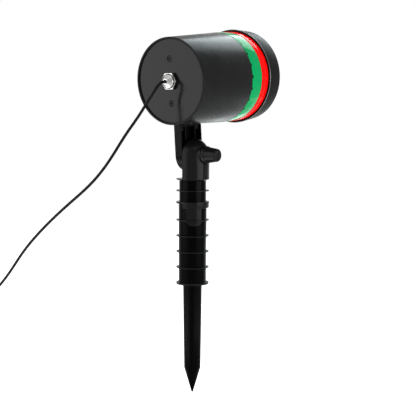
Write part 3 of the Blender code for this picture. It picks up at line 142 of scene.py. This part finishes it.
# The bezel's rear edge, with the groove inside it
EDGE_INNER = 0.0496
EDGE_FILLET = 0.0006
GROOVE_DEPTH = 0.0010

# The barrel's snap tabs, and the notches that they fill in the green band
TAB_COUNT = 24
TAB_WIDTH = 0.0018
TAB_LENGTH = 0.0012
TAB_ROOT = 0.0010
TAB_INNER = 0.0450
TAB_INSET = 0.0002
NOTCH_WIDTH = 0.0030
NOTCH_LENGTH = 0.0020
NOTCH_INNER = 0.0440
NOTCH_OUTER = 0.0500

# The gland's domed nut: radii, and (radius, height over the exit) at its shoulder and lip
GLAND_EXIT = -0.0384
GLAND_DOME_LENGTH = 0.0049
GLAND_DOME_RADIUS = 0.0078
GLAND_SHOULDER = (0.00725, 0.0030)
GLAND_LIP = (0.0042, 0.0011)
GLAND_MOUTH_RADIUS = 0.0029
GLAND_BORE = 0.001825

# The knob: stations along the tilt axis, then radii
KNOB_BACK = 0.0186
KNOB_FLANGE_END = 0.0210
KNOB_STEP_END = 0.0213
INSERT_HOLE_END = 0.0272
BOLT_HOLE_END = 0.0304
KNOB_DISH_FLOOR = 0.0330
KNOB_END = 0.0334
KNOB_FLANGE_RADIUS = 0.0095
KNOB_NECK_RADIUS = 0.0088
KNOB_STEP_RADIUS = 0.0084
KNOB_END_RADIUS = 0.0066
KNOB_DISH_RADIUS = 0.0044
KNOB_DISH_FLOOR_RADIUS = 0.0026
INSERT_HOLE_RADIUS = 0.0051
BOLT_HOLE_RADIUS = 0.00325

# The stake is painted lighter above the neck's base and beyond the rim radius, as painted light where light
# catches the neck, fins and collar, and painted deeper black on its sleeves as painted shade; it is also more
# specular in the lighter parts
NECK_BASE = 0.2296
RIM_RADIUS = 0.0150
# painted shade for the sleeves and painted light for the neck and raised parts: one plastic in two colours
PAINTED_SHADE_BLACK = (0.0002, 0.0002, 0.0003)
PAINTED_LIT_BLACK = (0.0042, 0.0042, 0.0044)
SLEEVE_SPECULAR = 0.018
SATIN_SPECULAR = 0.048

# Smoothness, finish and light
HEAD_SIDES = 160
TUBE_SIDES = 12
FILLET_STEPS = 6
SHARP_ANGLE = math.radians(35)
FLAT_ANGLE = math.radians(1)
WELD_DISTANCE = 1e-6
AXIS_WELD = 1e-7
PATCH_SCALE = 60
CLEAR_IOR = 1.49
FLOOR_HALF_SIZE = 6
FLOOR_DROP = 0.0004
FLOOR_GREY = 0.5
FLOOR_GLOW = 0.93
SKY_FILL = 0.24

HEAD = Matrix.Translation((0, 0, PIVOT_HEIGHT)) @ Matrix.Rotation(TILT, 4, "X")
BARREL = HEAD @ Matrix.Translation((0, 0, BARREL_AXIS_HEIGHT)) @ Matrix.Rotation(math.radians(-90), 4, "X")
KNOB = Matrix.Translation((0, 0, PIVOT_HEIGHT)) @ Matrix.Rotation(math.radians(90), 4, "Y")


# General helpers

def camera():
    right, up = Vector(CAMERA_RIGHT), Vector(CAMERA_UP)
    turn = Matrix((right, up, right.cross(up))).transposed().to_4x4()
    data = bpy.data.cameras.new("view")
    data.lens = CAMERA_LENS
    data.sensor_width = CAMERA_SENSOR
    data.clip_start = CAMERA_CLIP
    eye = link("view", data)
    eye.matrix_world = Matrix.Translation(CAMERA_PLACE) @ turn
    bpy.context.scene.camera = eye


def link(name, data):
    made = bpy.data.objects.new(name, data)
    bpy.context.scene.collection.objects.link(made)
    return made


def finished(name, form):
    """An object from a bmesh, smooth except at its edges."""
    mesh = bpy.data.meshes.new(name)
    form.to_mesh(mesh)
    form.free()
    mesh.shade_smooth()
    mesh.set_sharp_from_angle(angle=SHARP_ANGLE)
    return link(name, mesh)


def paint(piece, material):
    piece.data.materials.clear()
    piece.data.materials.append(material)


def stand_in(piece, material, body, *nodes):
    """A finer piece takes its material, rides on its body and stands for its CAD nodes."""
    paint(piece, material)
    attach(piece, body)
    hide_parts(*nodes)
    return piece


# Paths and tubes

def smooth_path(route, count):
    """Evenly spaced points on a natural cubic curve through the route's points."""
    knots = np.array(route, float)
    steps = np.linalg.norm(np.diff(knots, axis=0), axis=1)
    at = np.concatenate([[0], np.cumsum(steps)])
    size = len(knots)
    matrix = np.eye(size)
    right = np.zeros((size, 3))
    for i in range(1, size - 1):
        matrix[i, i - 1:i + 2] = (steps[i - 1], 2 * (steps[i - 1] + steps[i]), steps[i])
        rises = np.diff(knots[i - 1:i + 2], axis=0) / steps[i - 1:i + 1, None]
        right[i] = 6 * (rises[1] - rises[0])
    bends = np.linalg.solve(matrix, right)
    fine_at = np.linspace(0, at[-1], 40 * count)
    i = np.clip(np.searchsorted(at, fine_at, side="right") - 1, 0, size - 2)
    step = steps[i][:, None]
    b = (fine_at - at[i])[:, None] / step
    a = 1 - b
    fine = a * knots[i] + b * knots[i + 1] + ((a**3 - a) * bends[i] + (b**3 - b) * bends[i + 1]) * step**2 / 6
    along = np.concatenate([[0], np.cumsum(np.linalg.norm(np.diff(fine, axis=0), axis=1))])
    even = np.linspace(0, along[-1], count)
    return np.stack([np.interp(even, along, fine[:, axis]) for axis in range(3)], axis=1)


def coil_path():
    """The put-away coil: it winds in and out by turns, and climbs a layer in each half turn between."""
    layer_turns = (COIL_TURNS - (COIL_LAYERS - 1) * COIL_CLIMB_TURNS) / COIL_LAYERS
    turning_point = layer_turns + COIL_CLIMB_TURNS / 2
    width = layer_turns * COIL_PITCH
    points = []
    for step in range(round(COIL_TURNS * COIL_POINTS_PER_TURN) + 1):
        turn = step / COIL_POINTS_PER_TURN
        layer, rest = divmod(turn, layer_turns + COIL_CLIMB_TURNS)
        climb = min(max((rest - layer_turns) / COIL_CLIMB_TURNS, 0), 1)
        inward = rest if rest < turning_point else 2 * turning_point - rest
        inward = inward if layer % 2 == 0 else layer_turns - inward
        radius = COIL_MEAN_RADIUS + width / 2 - inward * COIL_PITCH
        height = COIL_HEIGHT + (layer + climb * climb * (3 - 2 * climb)) * COIL_PITCH
        angle = -math.pi / 2 - turn * math.tau
        points.append((radius * math.cos(angle), radius * math.sin(angle), height))
    points = np.array(points) + (*COIL_CENTRE, 0)
    return np.concatenate([points[:1] + (CORD_DIAMETER, 0, 0), points, points[-1:] + (0, COIL_TAIL, 0)])


def tube_mesh(name, points, radius):
    """A round tube as a mesh, with rings that don't twist, and closed ends."""
    points = np.array(points, float)
    ahead = np.gradient(points, axis=0)
    ahead /= np.linalg.norm(ahead, axis=1)[:, None]
    side = np.cross(ahead[0], (1, 0, 0))
    side /= np.linalg.norm(side)
    angles = [math.tau * k / TUBE_SIDES for k in range(TUBE_SIDES)]
    form = bmesh.new()
    rings = []
    for point, along in zip(points, ahead):
        side = side - along * (side @ along)
        side /= np.linalg.norm(side)
        other = np.cross(along, side)
        rings.append([
            form.verts.new(point + radius * (math.cos(a) * side + math.sin(a) * other)) for a in angles])
    for one, two in zip(rings, rings[1:]):
        for k in range(TUBE_SIDES):
            after = (k + 1) % TUBE_SIDES
            form.faces.new((one[k], one[after], two[after], two[k]))
    form.faces.new(rings[0][::-1])
    form.faces.new(rings[-1])
    bmesh.ops.recalc_face_normals(form, faces=form.faces)
    return finished(name, form)


# Materials

def add(tree, kind, **settings):
    """A new shader node of this kind, with its attributes set."""
    made = tree.nodes.new(f"ShaderNode{kind}")
    for name, value in settings.items():
        setattr(made, name, value)
    return made


def noise(tree, place, scale, detail):
    made = add(tree, "TexNoise")
    made.inputs["Scale"].default_value = scale
    made.inputs["Detail"].default_value = detail
    tree.links.new(place.outputs["Object"], made.inputs["Vector"])
    return made


def surface(name, colour, rough, metallic=0.0, specular=0.5, vary=0.15, rough_vary=0.05,
            grain=0.00002, grain_scale=2600):
    """A moulded, turned or rubber finish: colour and roughness drift a little, and a fine grain bumps it."""
    made = bpy.data.materials.new(name)
    made.use_nodes = True
    tree = made.node_tree
    shader = tree.nodes["Principled BSDF"]
    place = add(tree, "TexCoord")
    patch = noise(tree, place, PATCH_SCALE, 4)
    fine = noise(tree, place, grain_scale, 3)
    tint = add(tree, "Mix", data_type="RGBA")
    tint.inputs["A"].default_value = (*[c * (1 - vary) for c in colour], 1)
    tint.inputs["B"].default_value = (*[min(c * (1 + vary), 1) for c in colour], 1)
    spread = add(tree, "MapRange")
    spread.inputs["From Min"].default_value = 0.3
    spread.inputs["From Max"].default_value = 0.7
    spread.inputs["To Min"].default_value = max(rough - rough_vary, 0.02)
    spread.inputs["To Max"].default_value = rough + rough_vary
    bump = add(tree, "Bump")
    bump.inputs["Strength"].default_value = 1.0
    bump.inputs["Distance"].default_value = grain
    tree.links.new(patch.outputs["Fac"], tint.inputs["Factor"])
    tree.links.new(tint.outputs["Result"], shader.inputs["Base Color"])
    tree.links.new(patch.outputs["Fac"], spread.inputs["Value"])
    tree.links.new(spread.outputs["Result"], shader.inputs["Roughness"])
    tree.links.new(fine.outputs["Fac"], bump.inputs["Height"])
    tree.links.new(bump.outputs["Normal"], shader.inputs["Normal"])
    shader.inputs["Metallic"].default_value = metallic
    shader.inputs["Specular IOR Level"].default_value = specular
    return made


def clear_plastic(name, colour, rough, solid):
    made = surface(name, colour, rough, vary=0.03, rough_vary=0.01, grain=0.000002)
    shader = made.node_tree.nodes["Principled BSDF"]
    shader.inputs["Transmission Weight"].default_value = 1 - solid
    shader.inputs["IOR"].default_value = CLEAR_IOR
    return made


def stake_surface(name):
    """The stake's black: a lighter colour on the neck and on what stands out from the sleeves, painted light
    where light catches them, more specular there too, and a deeper black on the sleeves as painted shade.
    """
    made = surface(name, PAINTED_SHADE_BLACK, 0.23, grain=0.000003)
    tree = made.node_tree
    shader = tree.nodes["Principled BSDF"]
    place = add(tree, "TexCoord")
    parts = add(tree, "SeparateXYZ")
    flat = add(tree, "VectorMath", operation="MULTIPLY")
    flat.inputs[1].default_value = (1, 1, 0)
    reach = add(tree, "VectorMath", operation="LENGTH")
    outer = add(tree, "Math", operation="GREATER_THAN")
    outer.inputs[1].default_value = RIM_RADIUS
    upper = add(tree, "Math", operation="GREATER_THAN")
    upper.inputs[1].default_value = NECK_BASE
    # painted light: this mask is 1 on the neck and on the rims, fins and collar, which take the lighter
    # colour
    painted_lit_mask = add(tree, "Math", operation="MAXIMUM")
    shade = add(tree, "Mix", data_type="RGBA")
    shade.inputs["B"].default_value = (*PAINTED_LIT_BLACK, 1)
    gloss = add(tree, "MapRange")
    gloss.inputs["To Min"].default_value = SLEEVE_SPECULAR
    gloss.inputs["To Max"].default_value = SATIN_SPECULAR
    tree.links.new(place.outputs["Object"], parts.inputs["Vector"])
    tree.links.new(place.outputs["Object"], flat.inputs[0])
    tree.links.new(flat.outputs["Vector"], reach.inputs[0])
    tree.links.new(reach.outputs["Value"], outer.inputs[0])
    tree.links.new(parts.outputs["Z"], upper.inputs[0])
    tree.links.new(outer.outputs["Value"], painted_lit_mask.inputs[0])
    tree.links.new(upper.outputs["Value"], painted_lit_mask.inputs[1])
    tree.links.new(painted_lit_mask.outputs["Value"], shade.inputs["Factor"])
    tree.links.new(shader.inputs["Base Color"].links[0].from_socket, shade.inputs["A"])
    tree.links.new(shade.outputs["Result"], shader.inputs["Base Color"])
    tree.links.new(painted_lit_mask.outputs["Value"], gloss.inputs["Value"])
    tree.links.new(gloss.outputs["Result"], shader.inputs["Specular IOR Level"])
    return made


# Turned, copied and cut forms

def rounded(corners, closed):
    """Points of an outline of (across, along, fillet) corners, each fillet no longer than its edges allow."""
    points = []
    for index, (across, along, fillet) in enumerate(corners):
        corner = Vector((across, along))
        if (not closed and index in (0, len(corners) - 1)) or not fillet:
            points.append(corner)
            continue
        before = Vector(corners[index - 1][:2]) - corner
        after = Vector(corners[(index + 1) % len(corners)][:2]) - corner
        half = before.angle(after) / 2
        reach = min(fillet / math.tan(half), 0.45 * before.length, 0.45 * after.length)
        radius = reach * math.tan(half)
        middle = (before.normalized() + after.normalized()).normalized()
        centre = corner + middle * radius / math.sin(half)
        start = corner + before.normalized() * reach - centre
        turn = start.angle_signed(corner + after.normalized() * reach - centre)
        for step in range(FILLET_STEPS + 1):
            points.append(centre + Matrix.Rotation(-turn * step / FILLET_STEPS, 2) @ start)
    return points


def turned(name, corners, place, sides):
    """A piece turned round Z from (radius, height, fillet) corners; a solid one begins and ends on Z."""
    solid = corners[0][0] == 0 and corners[-1][0] == 0
    outline = rounded(corners, closed=not solid)
    on_axis = (0, len(outline) - 1) if solid else ()
    form = bmesh.new()
    columns = []
    for k in range(sides):
        x, y = math.cos(math.tau * k / sides), math.sin(math.tau * k / sides)
        columns.append([
            None if i in on_axis else form.verts.new((point.x * x, point.x * y, point.y))
            for i, point in enumerate(outline)])
    ends = [form.verts.new((0, 0, outline[i].y)) for i in on_axis] or (None, None)
    pairs = list(zip(range(len(outline) - 1), range(1, len(outline))))
    if not solid:
        pairs.append((len(outline) - 1, 0))
    for k in range(sides):
        one, two = columns[k], columns[(k + 1) % sides]
        for i, j in pairs:
            around = (one[i] or ends[0], two[i], two[j], one[j] or ends[1])
            form.faces.new([vertex for vertex in around if vertex is not None])
    bmesh.ops.remove_doubles(form, verts=form.verts, dist=AXIS_WELD)
    bmesh.ops.recalc_face_normals(form, faces=form.faces)
    bmesh.ops.transform(form, matrix=place, verts=form.verts)
    return finished(name, form)


def smooth_copy(node, material, body, bevel):
    """The CAD node's own form, with smooth round faces and softened edges."""
    form = bmesh.new()
    form.from_mesh(NODES[node].data)
    bmesh.ops.remove_doubles(form, verts=form.verts, dist=WELD_DISTANCE)
    bmesh.ops.dissolve_limit(form, angle_limit=FLAT_ANGLE, verts=form.verts, edges=form.edges)
    made = finished(f"{node}_shown", form)
    if bevel:
        edges = made.modifiers.new("edges", "BEVEL")
        edges.width = bevel
        edges.segments = 2
        edges.limit_method = "ANGLE"
        edges.angle_limit = SHARP_ANGLE
    shading = made.modifiers.new("shading", "WEIGHTED_NORMAL")
    shading.keep_sharp = True
    shading.weight = 70
    return stand_in(made, material, body, node)


def block_ring(name, width, inner, outer, low, high):
    """Small blocks round the barrel's axis, one at each snap tab."""
    form = bmesh.new()
    size = Matrix.Diagonal((outer - inner, width, high - low, 1))
    middle = Matrix.Translation(((inner + outer) / 2, 0, (low + high) / 2))
    for index in range(TAB_COUNT):
        turn = Matrix.Rotation(math.tau * index / TAB_COUNT, 4, "Z")
        bmesh.ops.create_cube(form, size=1, matrix=BARREL @ turn @ middle @ size)
    return finished(name, form)


def cut_by(piece, tool):
    """Takes the tool out of the piece, for good, and removes the tool."""
    step = piece.modifiers.new("cut", "BOOLEAN")
    step.operation = "DIFFERENCE"
    step.solver = "EXACT"
    step.object = tool
    bpy.context.view_layer.update()
    mesh = bpy.data.meshes.new_from_object(piece.evaluated_get(bpy.context.evaluated_depsgraph_get()))
    piece.modifiers.clear()
    piece.data = mesh
    bpy.data.objects.remove(tool)
    mesh.shade_smooth()
    mesh.set_sharp_from_angle(angle=SHARP_ANGLE)


# The finer pieces

def head_shell():
    shell = turned("barrel_shown", [
        (RIM_INNER, BARREL_BACK, 0.0003),
        (BARREL_BACK_RADIUS, BARREL_BACK, 0.0008),
        (BARREL_FRONT_RADIUS, SHOULDER, 0.0003),
        (SPIGOT_RADIUS, SHOULDER, 0),
        (SPIGOT_RADIUS, SPIGOT_END, 0.0003),
        (SPIGOT_BORE, SPIGOT_END, 0.0003),
        (SPIGOT_BORE, CHASSIS_LEDGE_FRONT, 0),
        (CHASSIS_LEDGE_BORE, CHASSIS_LEDGE_FRONT, 0),
        (CHASSIS_LEDGE_BORE, CHASSIS_LEDGE_BACK, 0),
        (SPIGOT_BORE, CHASSIS_LEDGE_BACK, 0),
        (SPIGOT_BORE, WALL_END, 0),
        (WALL_END_INNER, WALL_END, 0),
        (RIM_INNER, COVER_LEDGE_FRONT, 0),
        (COVER_LEDGE_BORE, COVER_LEDGE_FRONT, 0),
        (COVER_LEDGE_BORE, COVER_LEDGE_BACK, 0),
        (RIM_INNER, COVER_LEDGE_BACK, 0),
    ], BARREL, HEAD_SIDES)
    tabs = block_ring("tabs", TAB_WIDTH, TAB_INNER, BARREL_FRONT_RADIUS - TAB_INSET,
                      SHOULDER - TAB_ROOT, SHOULDER + TAB_LENGTH)
    form = bmesh.new()
    form.from_mesh(shell.data)
    form.from_mesh(tabs.data)
    form.to_mesh(shell.data)
    form.free()
    shell.data.set_sharp_from_angle(angle=SHARP_ANGLE)
    bpy.data.objects.remove(tabs)
    stand_in(shell, MATERIALS["barrel_plastic"], "head", "barrel_housing")


def bands():
    green_front, red_front = RED_BACK - GAP, BEZEL_BACK - GAP
    green = turned("green_band_shown", [
        (BEZEL_BORE, GREEN_BACK, 0),
        (BAND_RADIUS, GREEN_BACK, 0.0003),
        (BAND_RADIUS, green_front, 0.0003),
        (BEZEL_BORE, green_front, 0),
    ], BARREL, HEAD_SIDES)
    cut_by(green, block_ring("notches", NOTCH_WIDTH, NOTCH_INNER, NOTCH_OUTER,
                             SHOULDER - TAB_ROOT, SHOULDER + NOTCH_LENGTH))
    stand_in(green, MATERIALS["green_gloss"], "head", "green_band")
    red = turned("red_band_shown", [
        (BEZEL_BORE, RED_BACK, 0),
        (RED_BAND_RADIUS, RED_BACK, 0.0003),
        (RED_BAND_RADIUS, red_front, 0.0003),
        (BEZEL_BORE, red_front, 0),
    ], BARREL, HEAD_SIDES)
    stand_in(red, MATERIALS["red_gloss"], "head", "red_band")


def bezel_and_window():
    bezel = turned("bezel_shown", [
        (BEZEL_BORE, BEZEL_BACK + GROOVE_DEPTH, 0),
        (EDGE_INNER, BEZEL_BACK + GROOVE_DEPTH, 0),
        (EDGE_INNER, BEZEL_BACK, 0.0002),
        (BEZEL_BACK_RADIUS, BEZEL_BACK, EDGE_FILLET),
        (BEZEL_FRONT_RADIUS, BEZEL_FRONT, 0.0016),
        (BEZEL_OPENING_RADIUS, BEZEL_FRONT, 0.0003),
        (BEZEL_OPENING_INNER, BEZEL_LEDGE, 0),
        (BEZEL_BORE, BEZEL_LEDGE, 0),
    ], BARREL, HEAD_SIDES)
    stand_in(bezel, BEZEL_BLACK, "head", "front_bezel")
    bezel.data.materials.append(PAINTED_HIGHLIGHT_EDGE)
    # The bezel's rear face and outer edge fillet take the painted highlight colour
    to_axis = BARREL.inverted()
    for face in bezel.data.polygons:
        centre = to_axis @ face.center
        if centre.z < BEZEL_BACK + EDGE_FILLET and centre.xy.length > EDGE_INNER + EDGE_FILLET:
            face.material_index = 1
    window = turned("window_shown", [
        (0, WINDOW_BACK, 0),
        (SPIGOT_RADIUS, WINDOW_BACK, 0.0002),
        (SPIGOT_RADIUS, BEZEL_LEDGE - GAP, 0.0002),
        (0, BEZEL_LEDGE - GAP, 0),
    ], BARREL, 96)
    stand_in(window, MATERIALS["window"], "head", "front_window")


def gland_nut():
    back = GLAND_EXIT + GLAND_DOME_LENGTH
    dome = turned("gland_dome_shown", [
        (GLAND_BORE, back, 0),
        (GLAND_DOME_RADIUS, back, 0.0003),
        (GLAND_SHOULDER[0], GLAND_EXIT + GLAND_SHOULDER[1], 0.0020),
        (GLAND_LIP[0], GLAND_EXIT + GLAND_LIP[1], 0.0018),
        (GLAND_MOUTH_RADIUS, GLAND_EXIT, 0.0005),
        (GLAND_BORE, GLAND_EXIT, 0.0002),
    ], BARREL, 72)
    stand_in(dome, MATERIALS["nickel"], "head", "gland_dome_nut")


def knob():
    made = turned("knob_shown", [
        (INSERT_HOLE_RADIUS, KNOB_BACK, 0),
        (KNOB_FLANGE_RADIUS, KNOB_BACK, 0.0005),
        (KNOB_NECK_RADIUS, KNOB_FLANGE_END, 0.0002),
        (KNOB_STEP_RADIUS, KNOB_STEP_END, 0.0002),
        (KNOB_END_RADIUS, KNOB_END, 0.0012),
        (KNOB_DISH_RADIUS, KNOB_END, 0.0002),
        (KNOB_DISH_FLOOR_RADIUS, KNOB_DISH_FLOOR, 0.0003),
        (0, KNOB_DISH_FLOOR, 0),
        (0, BOLT_HOLE_END, 0),
        (BOLT_HOLE_RADIUS, BOLT_HOLE_END, 0),
        (BOLT_HOLE_RADIUS, INSERT_HOLE_END, 0),
        (INSERT_HOLE_RADIUS, INSERT_HOLE_END, 0),
    ], KNOB, 96)
    stand_in(made, MATERIALS["stake_plastic"], "knob", "clamp_knob")


# Floor, world and lights

def plain_white_rays(tree):
    """A socket that is 1 for the rays that meet plain white, and 0 for the light that falls on surfaces."""
    rays = add(tree, "LightPath")
    found = rays.outputs["Is Camera Ray"]
    for kind in ("Is Glossy Ray", "Is Transmission Ray"):
        most = add(tree, "Math", operation="MAXIMUM")
        tree.links.new(found, most.inputs[0])
        tree.links.new(rays.outputs[kind], most.inputs[1])
        found = most.outputs["Value"]
    return found


def stage():
    """A pale floor that keeps shadows, and glows for the plain white rays so that it looks white."""
    form = bmesh.new()
    bmesh.ops.create_grid(form, x_segments=1, y_segments=1, size=FLOOR_HALF_SIZE)
    floor = finished("floor", form)
    floor.location = (0, 0, -FLOOR_DROP)
    pale = bpy.data.materials.new("pale_floor")
    pale.use_nodes = True
    tree = pale.node_tree
    shader = tree.nodes["Principled BSDF"]
    shader.inputs["Base Color"].default_value = (FLOOR_GREY, FLOOR_GREY, FLOOR_GREY, 1)
    shader.inputs["Roughness"].default_value = 0.9
    shader.inputs["Specular IOR Level"].default_value = 0.0
    glow = add(tree, "Emission")
    glow.inputs["Color"].default_value = (1, 1, 1, 1)
    glow.inputs["Strength"].default_value = FLOOR_GLOW
    both = add(tree, "AddShader")
    mix = add(tree, "MixShader")
    tree.links.new(shader.outputs["BSDF"], both.inputs[0])
    tree.links.new(glow.outputs["Emission"], both.inputs[1])
    tree.links.new(plain_white_rays(tree), mix.inputs["Fac"])
    tree.links.new(shader.outputs["BSDF"], mix.inputs[1])
    tree.links.new(both.outputs["Shader"], mix.inputs[2])
    tree.links.new(mix.outputs["Shader"], tree.nodes["Material Output"].inputs["Surface"])
    paint(floor, pale)


def world():
    """Plain white for the rays that show it, and a weaker fill for the light that falls on surfaces."""
    made = bpy.data.worlds.new("studio")
    bpy.context.scene.world = made
    made.use_nodes = True
    tree = made.node_tree
    tree.nodes.clear()
    strength = add(tree, "MapRange")
    strength.inputs["To Min"].default_value = SKY_FILL
    strength.inputs["To Max"].default_value = 1.0
    back = add(tree, "Background")
    back.inputs["Color"].default_value = (1, 1, 1, 1)
    result = add(tree, "OutputWorld")
    tree.links.new(plain_white_rays(tree), strength.inputs["Value"])
    tree.links.new(strength.outputs["Result"], back.inputs["Strength"])
    tree.links.new(back.outputs["Background"], result.inputs["Surface"])


def lamp(name, place, aim, size, power, tint=(1, 1, 1)):
    data = bpy.data.lights.new(name, "AREA")
    data.shape = "RECTANGLE"
    data.size, data.size_y = size
    data.energy = power
    data.color = tint
    made = link(name, data)
    made.location = place
    made.visible_camera = False
    made.rotation_euler = (Vector(aim) - Vector(place)).to_track_quat("-Z", "Y").to_euler()


camera()

# The cord: its free run from the gland to the ground, and its put-away coil
cord_material = surface("cord_sheath", (0.003, 0.003, 0.0033), 0.40, specular=0.04, grain=0.00001,
                        grain_scale=1500)
exit_point = BARREL @ Vector((0, 0, GLAND_EXIT))
inner_point = BARREL @ Vector((0, 0, GLAND_EXIT + GLAND_DOME_LENGTH / 2))
coil = coil_path()
meet = Vector(coil[0]) + Vector((GAP, 0, 0))
free_run = smooth_path(
    [inner_point, exit_point, *CORD_ROUTE, meet + Vector((2 * CORD_DIAMETER, 0, 0)), meet], CORD_POINT_COUNT)
cord_points = np.concatenate([free_run, coil])
cord = tube_mesh("lead", cord_points, CORD_DIAMETER / 2)
paint(cord, cord_material)
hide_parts("power_cord", "cord_coil")
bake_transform(cord)

# A material for each slot of the record, then two finishes that only the scene has, and a painted highlight
# colour for the bezel's rear edge
MATERIALS = {
    "barrel_plastic": surface("barrel_black", (0.0094, 0.0094, 0.0095), 0.27, specular=0.026,
                              grain=0.0000015),
    "stake_plastic": stake_surface("stake_black"),
    "cover_plastic": surface("cover_grey", (0.004, 0.004, 0.0043), 0.14, specular=0.085, grain=0.000002),
    "rubber": surface("rubber_black", (0.012, 0.012, 0.012), 0.7, specular=0.3),
    "steel": surface("zinc_steel", (0.62, 0.62, 0.60), 0.3, metallic=1.0),
    "dark_steel": surface("blackened_steel", (0.006, 0.006, 0.006), 0.5, specular=0.1),
    "nickel": surface("bright_nickel", (0.29, 0.29, 0.285), 0.30, metallic=1.0, grain=0.000006),
    "brass": surface("turned_brass", (0.75, 0.56, 0.25), 0.28, metallic=1.0),
    "aluminium": surface("plain_aluminium", (0.66, 0.67, 0.68), 0.38, metallic=1.0),
    "green_gloss": surface("green_gloss", (0.0012, 0.24, 0.072), 0.03, specular=0.025, vary=0.05,
                           rough_vary=0.01, grain=0.000001),
    "red_gloss": surface("red_gloss", (0.78, 0.0025, 0.002), 0.03, specular=0.025, vary=0.05,
                         rough_vary=0.01, grain=0.000001),
    "window": clear_plastic("clear_window", (0.95, 0.96, 0.96), 0.02, solid=0.0),
    "grating": clear_plastic("grating_film", (0.75, 0.80, 0.85), 0.10, solid=0.3),
    "board": surface("board_green", (0.02, 0.16, 0.06), 0.42),
    "cord_sheath": cord_material,
}
ARM_BLACK = surface("arm_black", (0.0016, 0.0016, 0.0017), 0.24, specular=0.030, grain=0.000003)
BEZEL_BLACK = surface("bezel_black", (0.0110, 0.0106, 0.0104), 0.36, specular=0.006, grain=0.0000015)
# painted highlight: a lighter, glossier colour on the bezel's rear face and edge stands in for the thin light
# line along it
PAINTED_HIGHLIGHT_EDGE = surface("painted_highlight_edge", (0.05, 0.05, 0.05), 0.25, specular=0.8, grain=0.000002)
for node, piece in NODES.items():
    paint(piece, MATERIALS[SLOT_OF[node]])

# The nodes that keep their CAD form, each with the bevel that softens its edges
BEVELS = {
    "tilt_arm": 0.0003,
    "upper_stake": 0.0002,
    "lower_stake": 0.0002,
    "gland_body": 0.0002,
    "adapter_housing": 0.0,
    "adapter_strain_relief": 0.0,
    "adapter_blade_near": 0.0002,
    "adapter_blade_far": 0.0002,
    "coil_tie": 0.0002,
    "driver_board": 0.0,
    "heat_sink": 0.0002,
    "laser_chassis": 0.0,
    "clamp_washer": 0.0001,
    "cover_screw_upper": 0.0,
    "cover_screw_lower": 0.0,
    "rear_cover": 0.0,
    "pivot_bolt": 0.0002,
    "green_laser_module": 0.0,
    "red_laser_module": 0.0,
}
for node, bevel in BEVELS.items():
    smooth_copy(node, ARM_BLACK if node == "tilt_arm" else MATERIALS[SLOT_OF[node]], BODY_OF[node], bevel)

head_shell()
bands()
bezel_and_window()
gland_nut()
knob()

stage()
world()
lamp("back_softbox", (-0.155, 1.10, 1.20), (-0.155, 0.05, 0.50), (0.85, 0.85), 27, (0.87, 0.98, 1.0))
lamp("low_softbox", (-0.08, 0.62, 0.03), (-0.08, 0.06, 0.30), (0.60, 0.12), 0.6, (0.90, 0.98, 1.0))
lamp("top_softbox", (0.50, -0.50, 1.50), (0, 0, 0.33), (0.9, 0.9), 8)
lamp("left_softbox", (-0.50, -0.87, 0.53), (0, 0, 0.27), (1.00, 1.00), 14)
lamp("right_softbox", (0.95, 0.06, 0.26), (0, 0, 0.25), (0.80, 0.35), 8)
lamp("floor_left", (-0.15, -0.27, 0.004), (-0.15, -0.27, 1), (0.32, 0.32), 1.6)
lamp("floor_right", (0.30, 0.03, 0.004), (0.30, 0.03, 1), (0.24, 0.36), 1.0)
bpy.context.scene.view_settings.view_transform = "Standard"
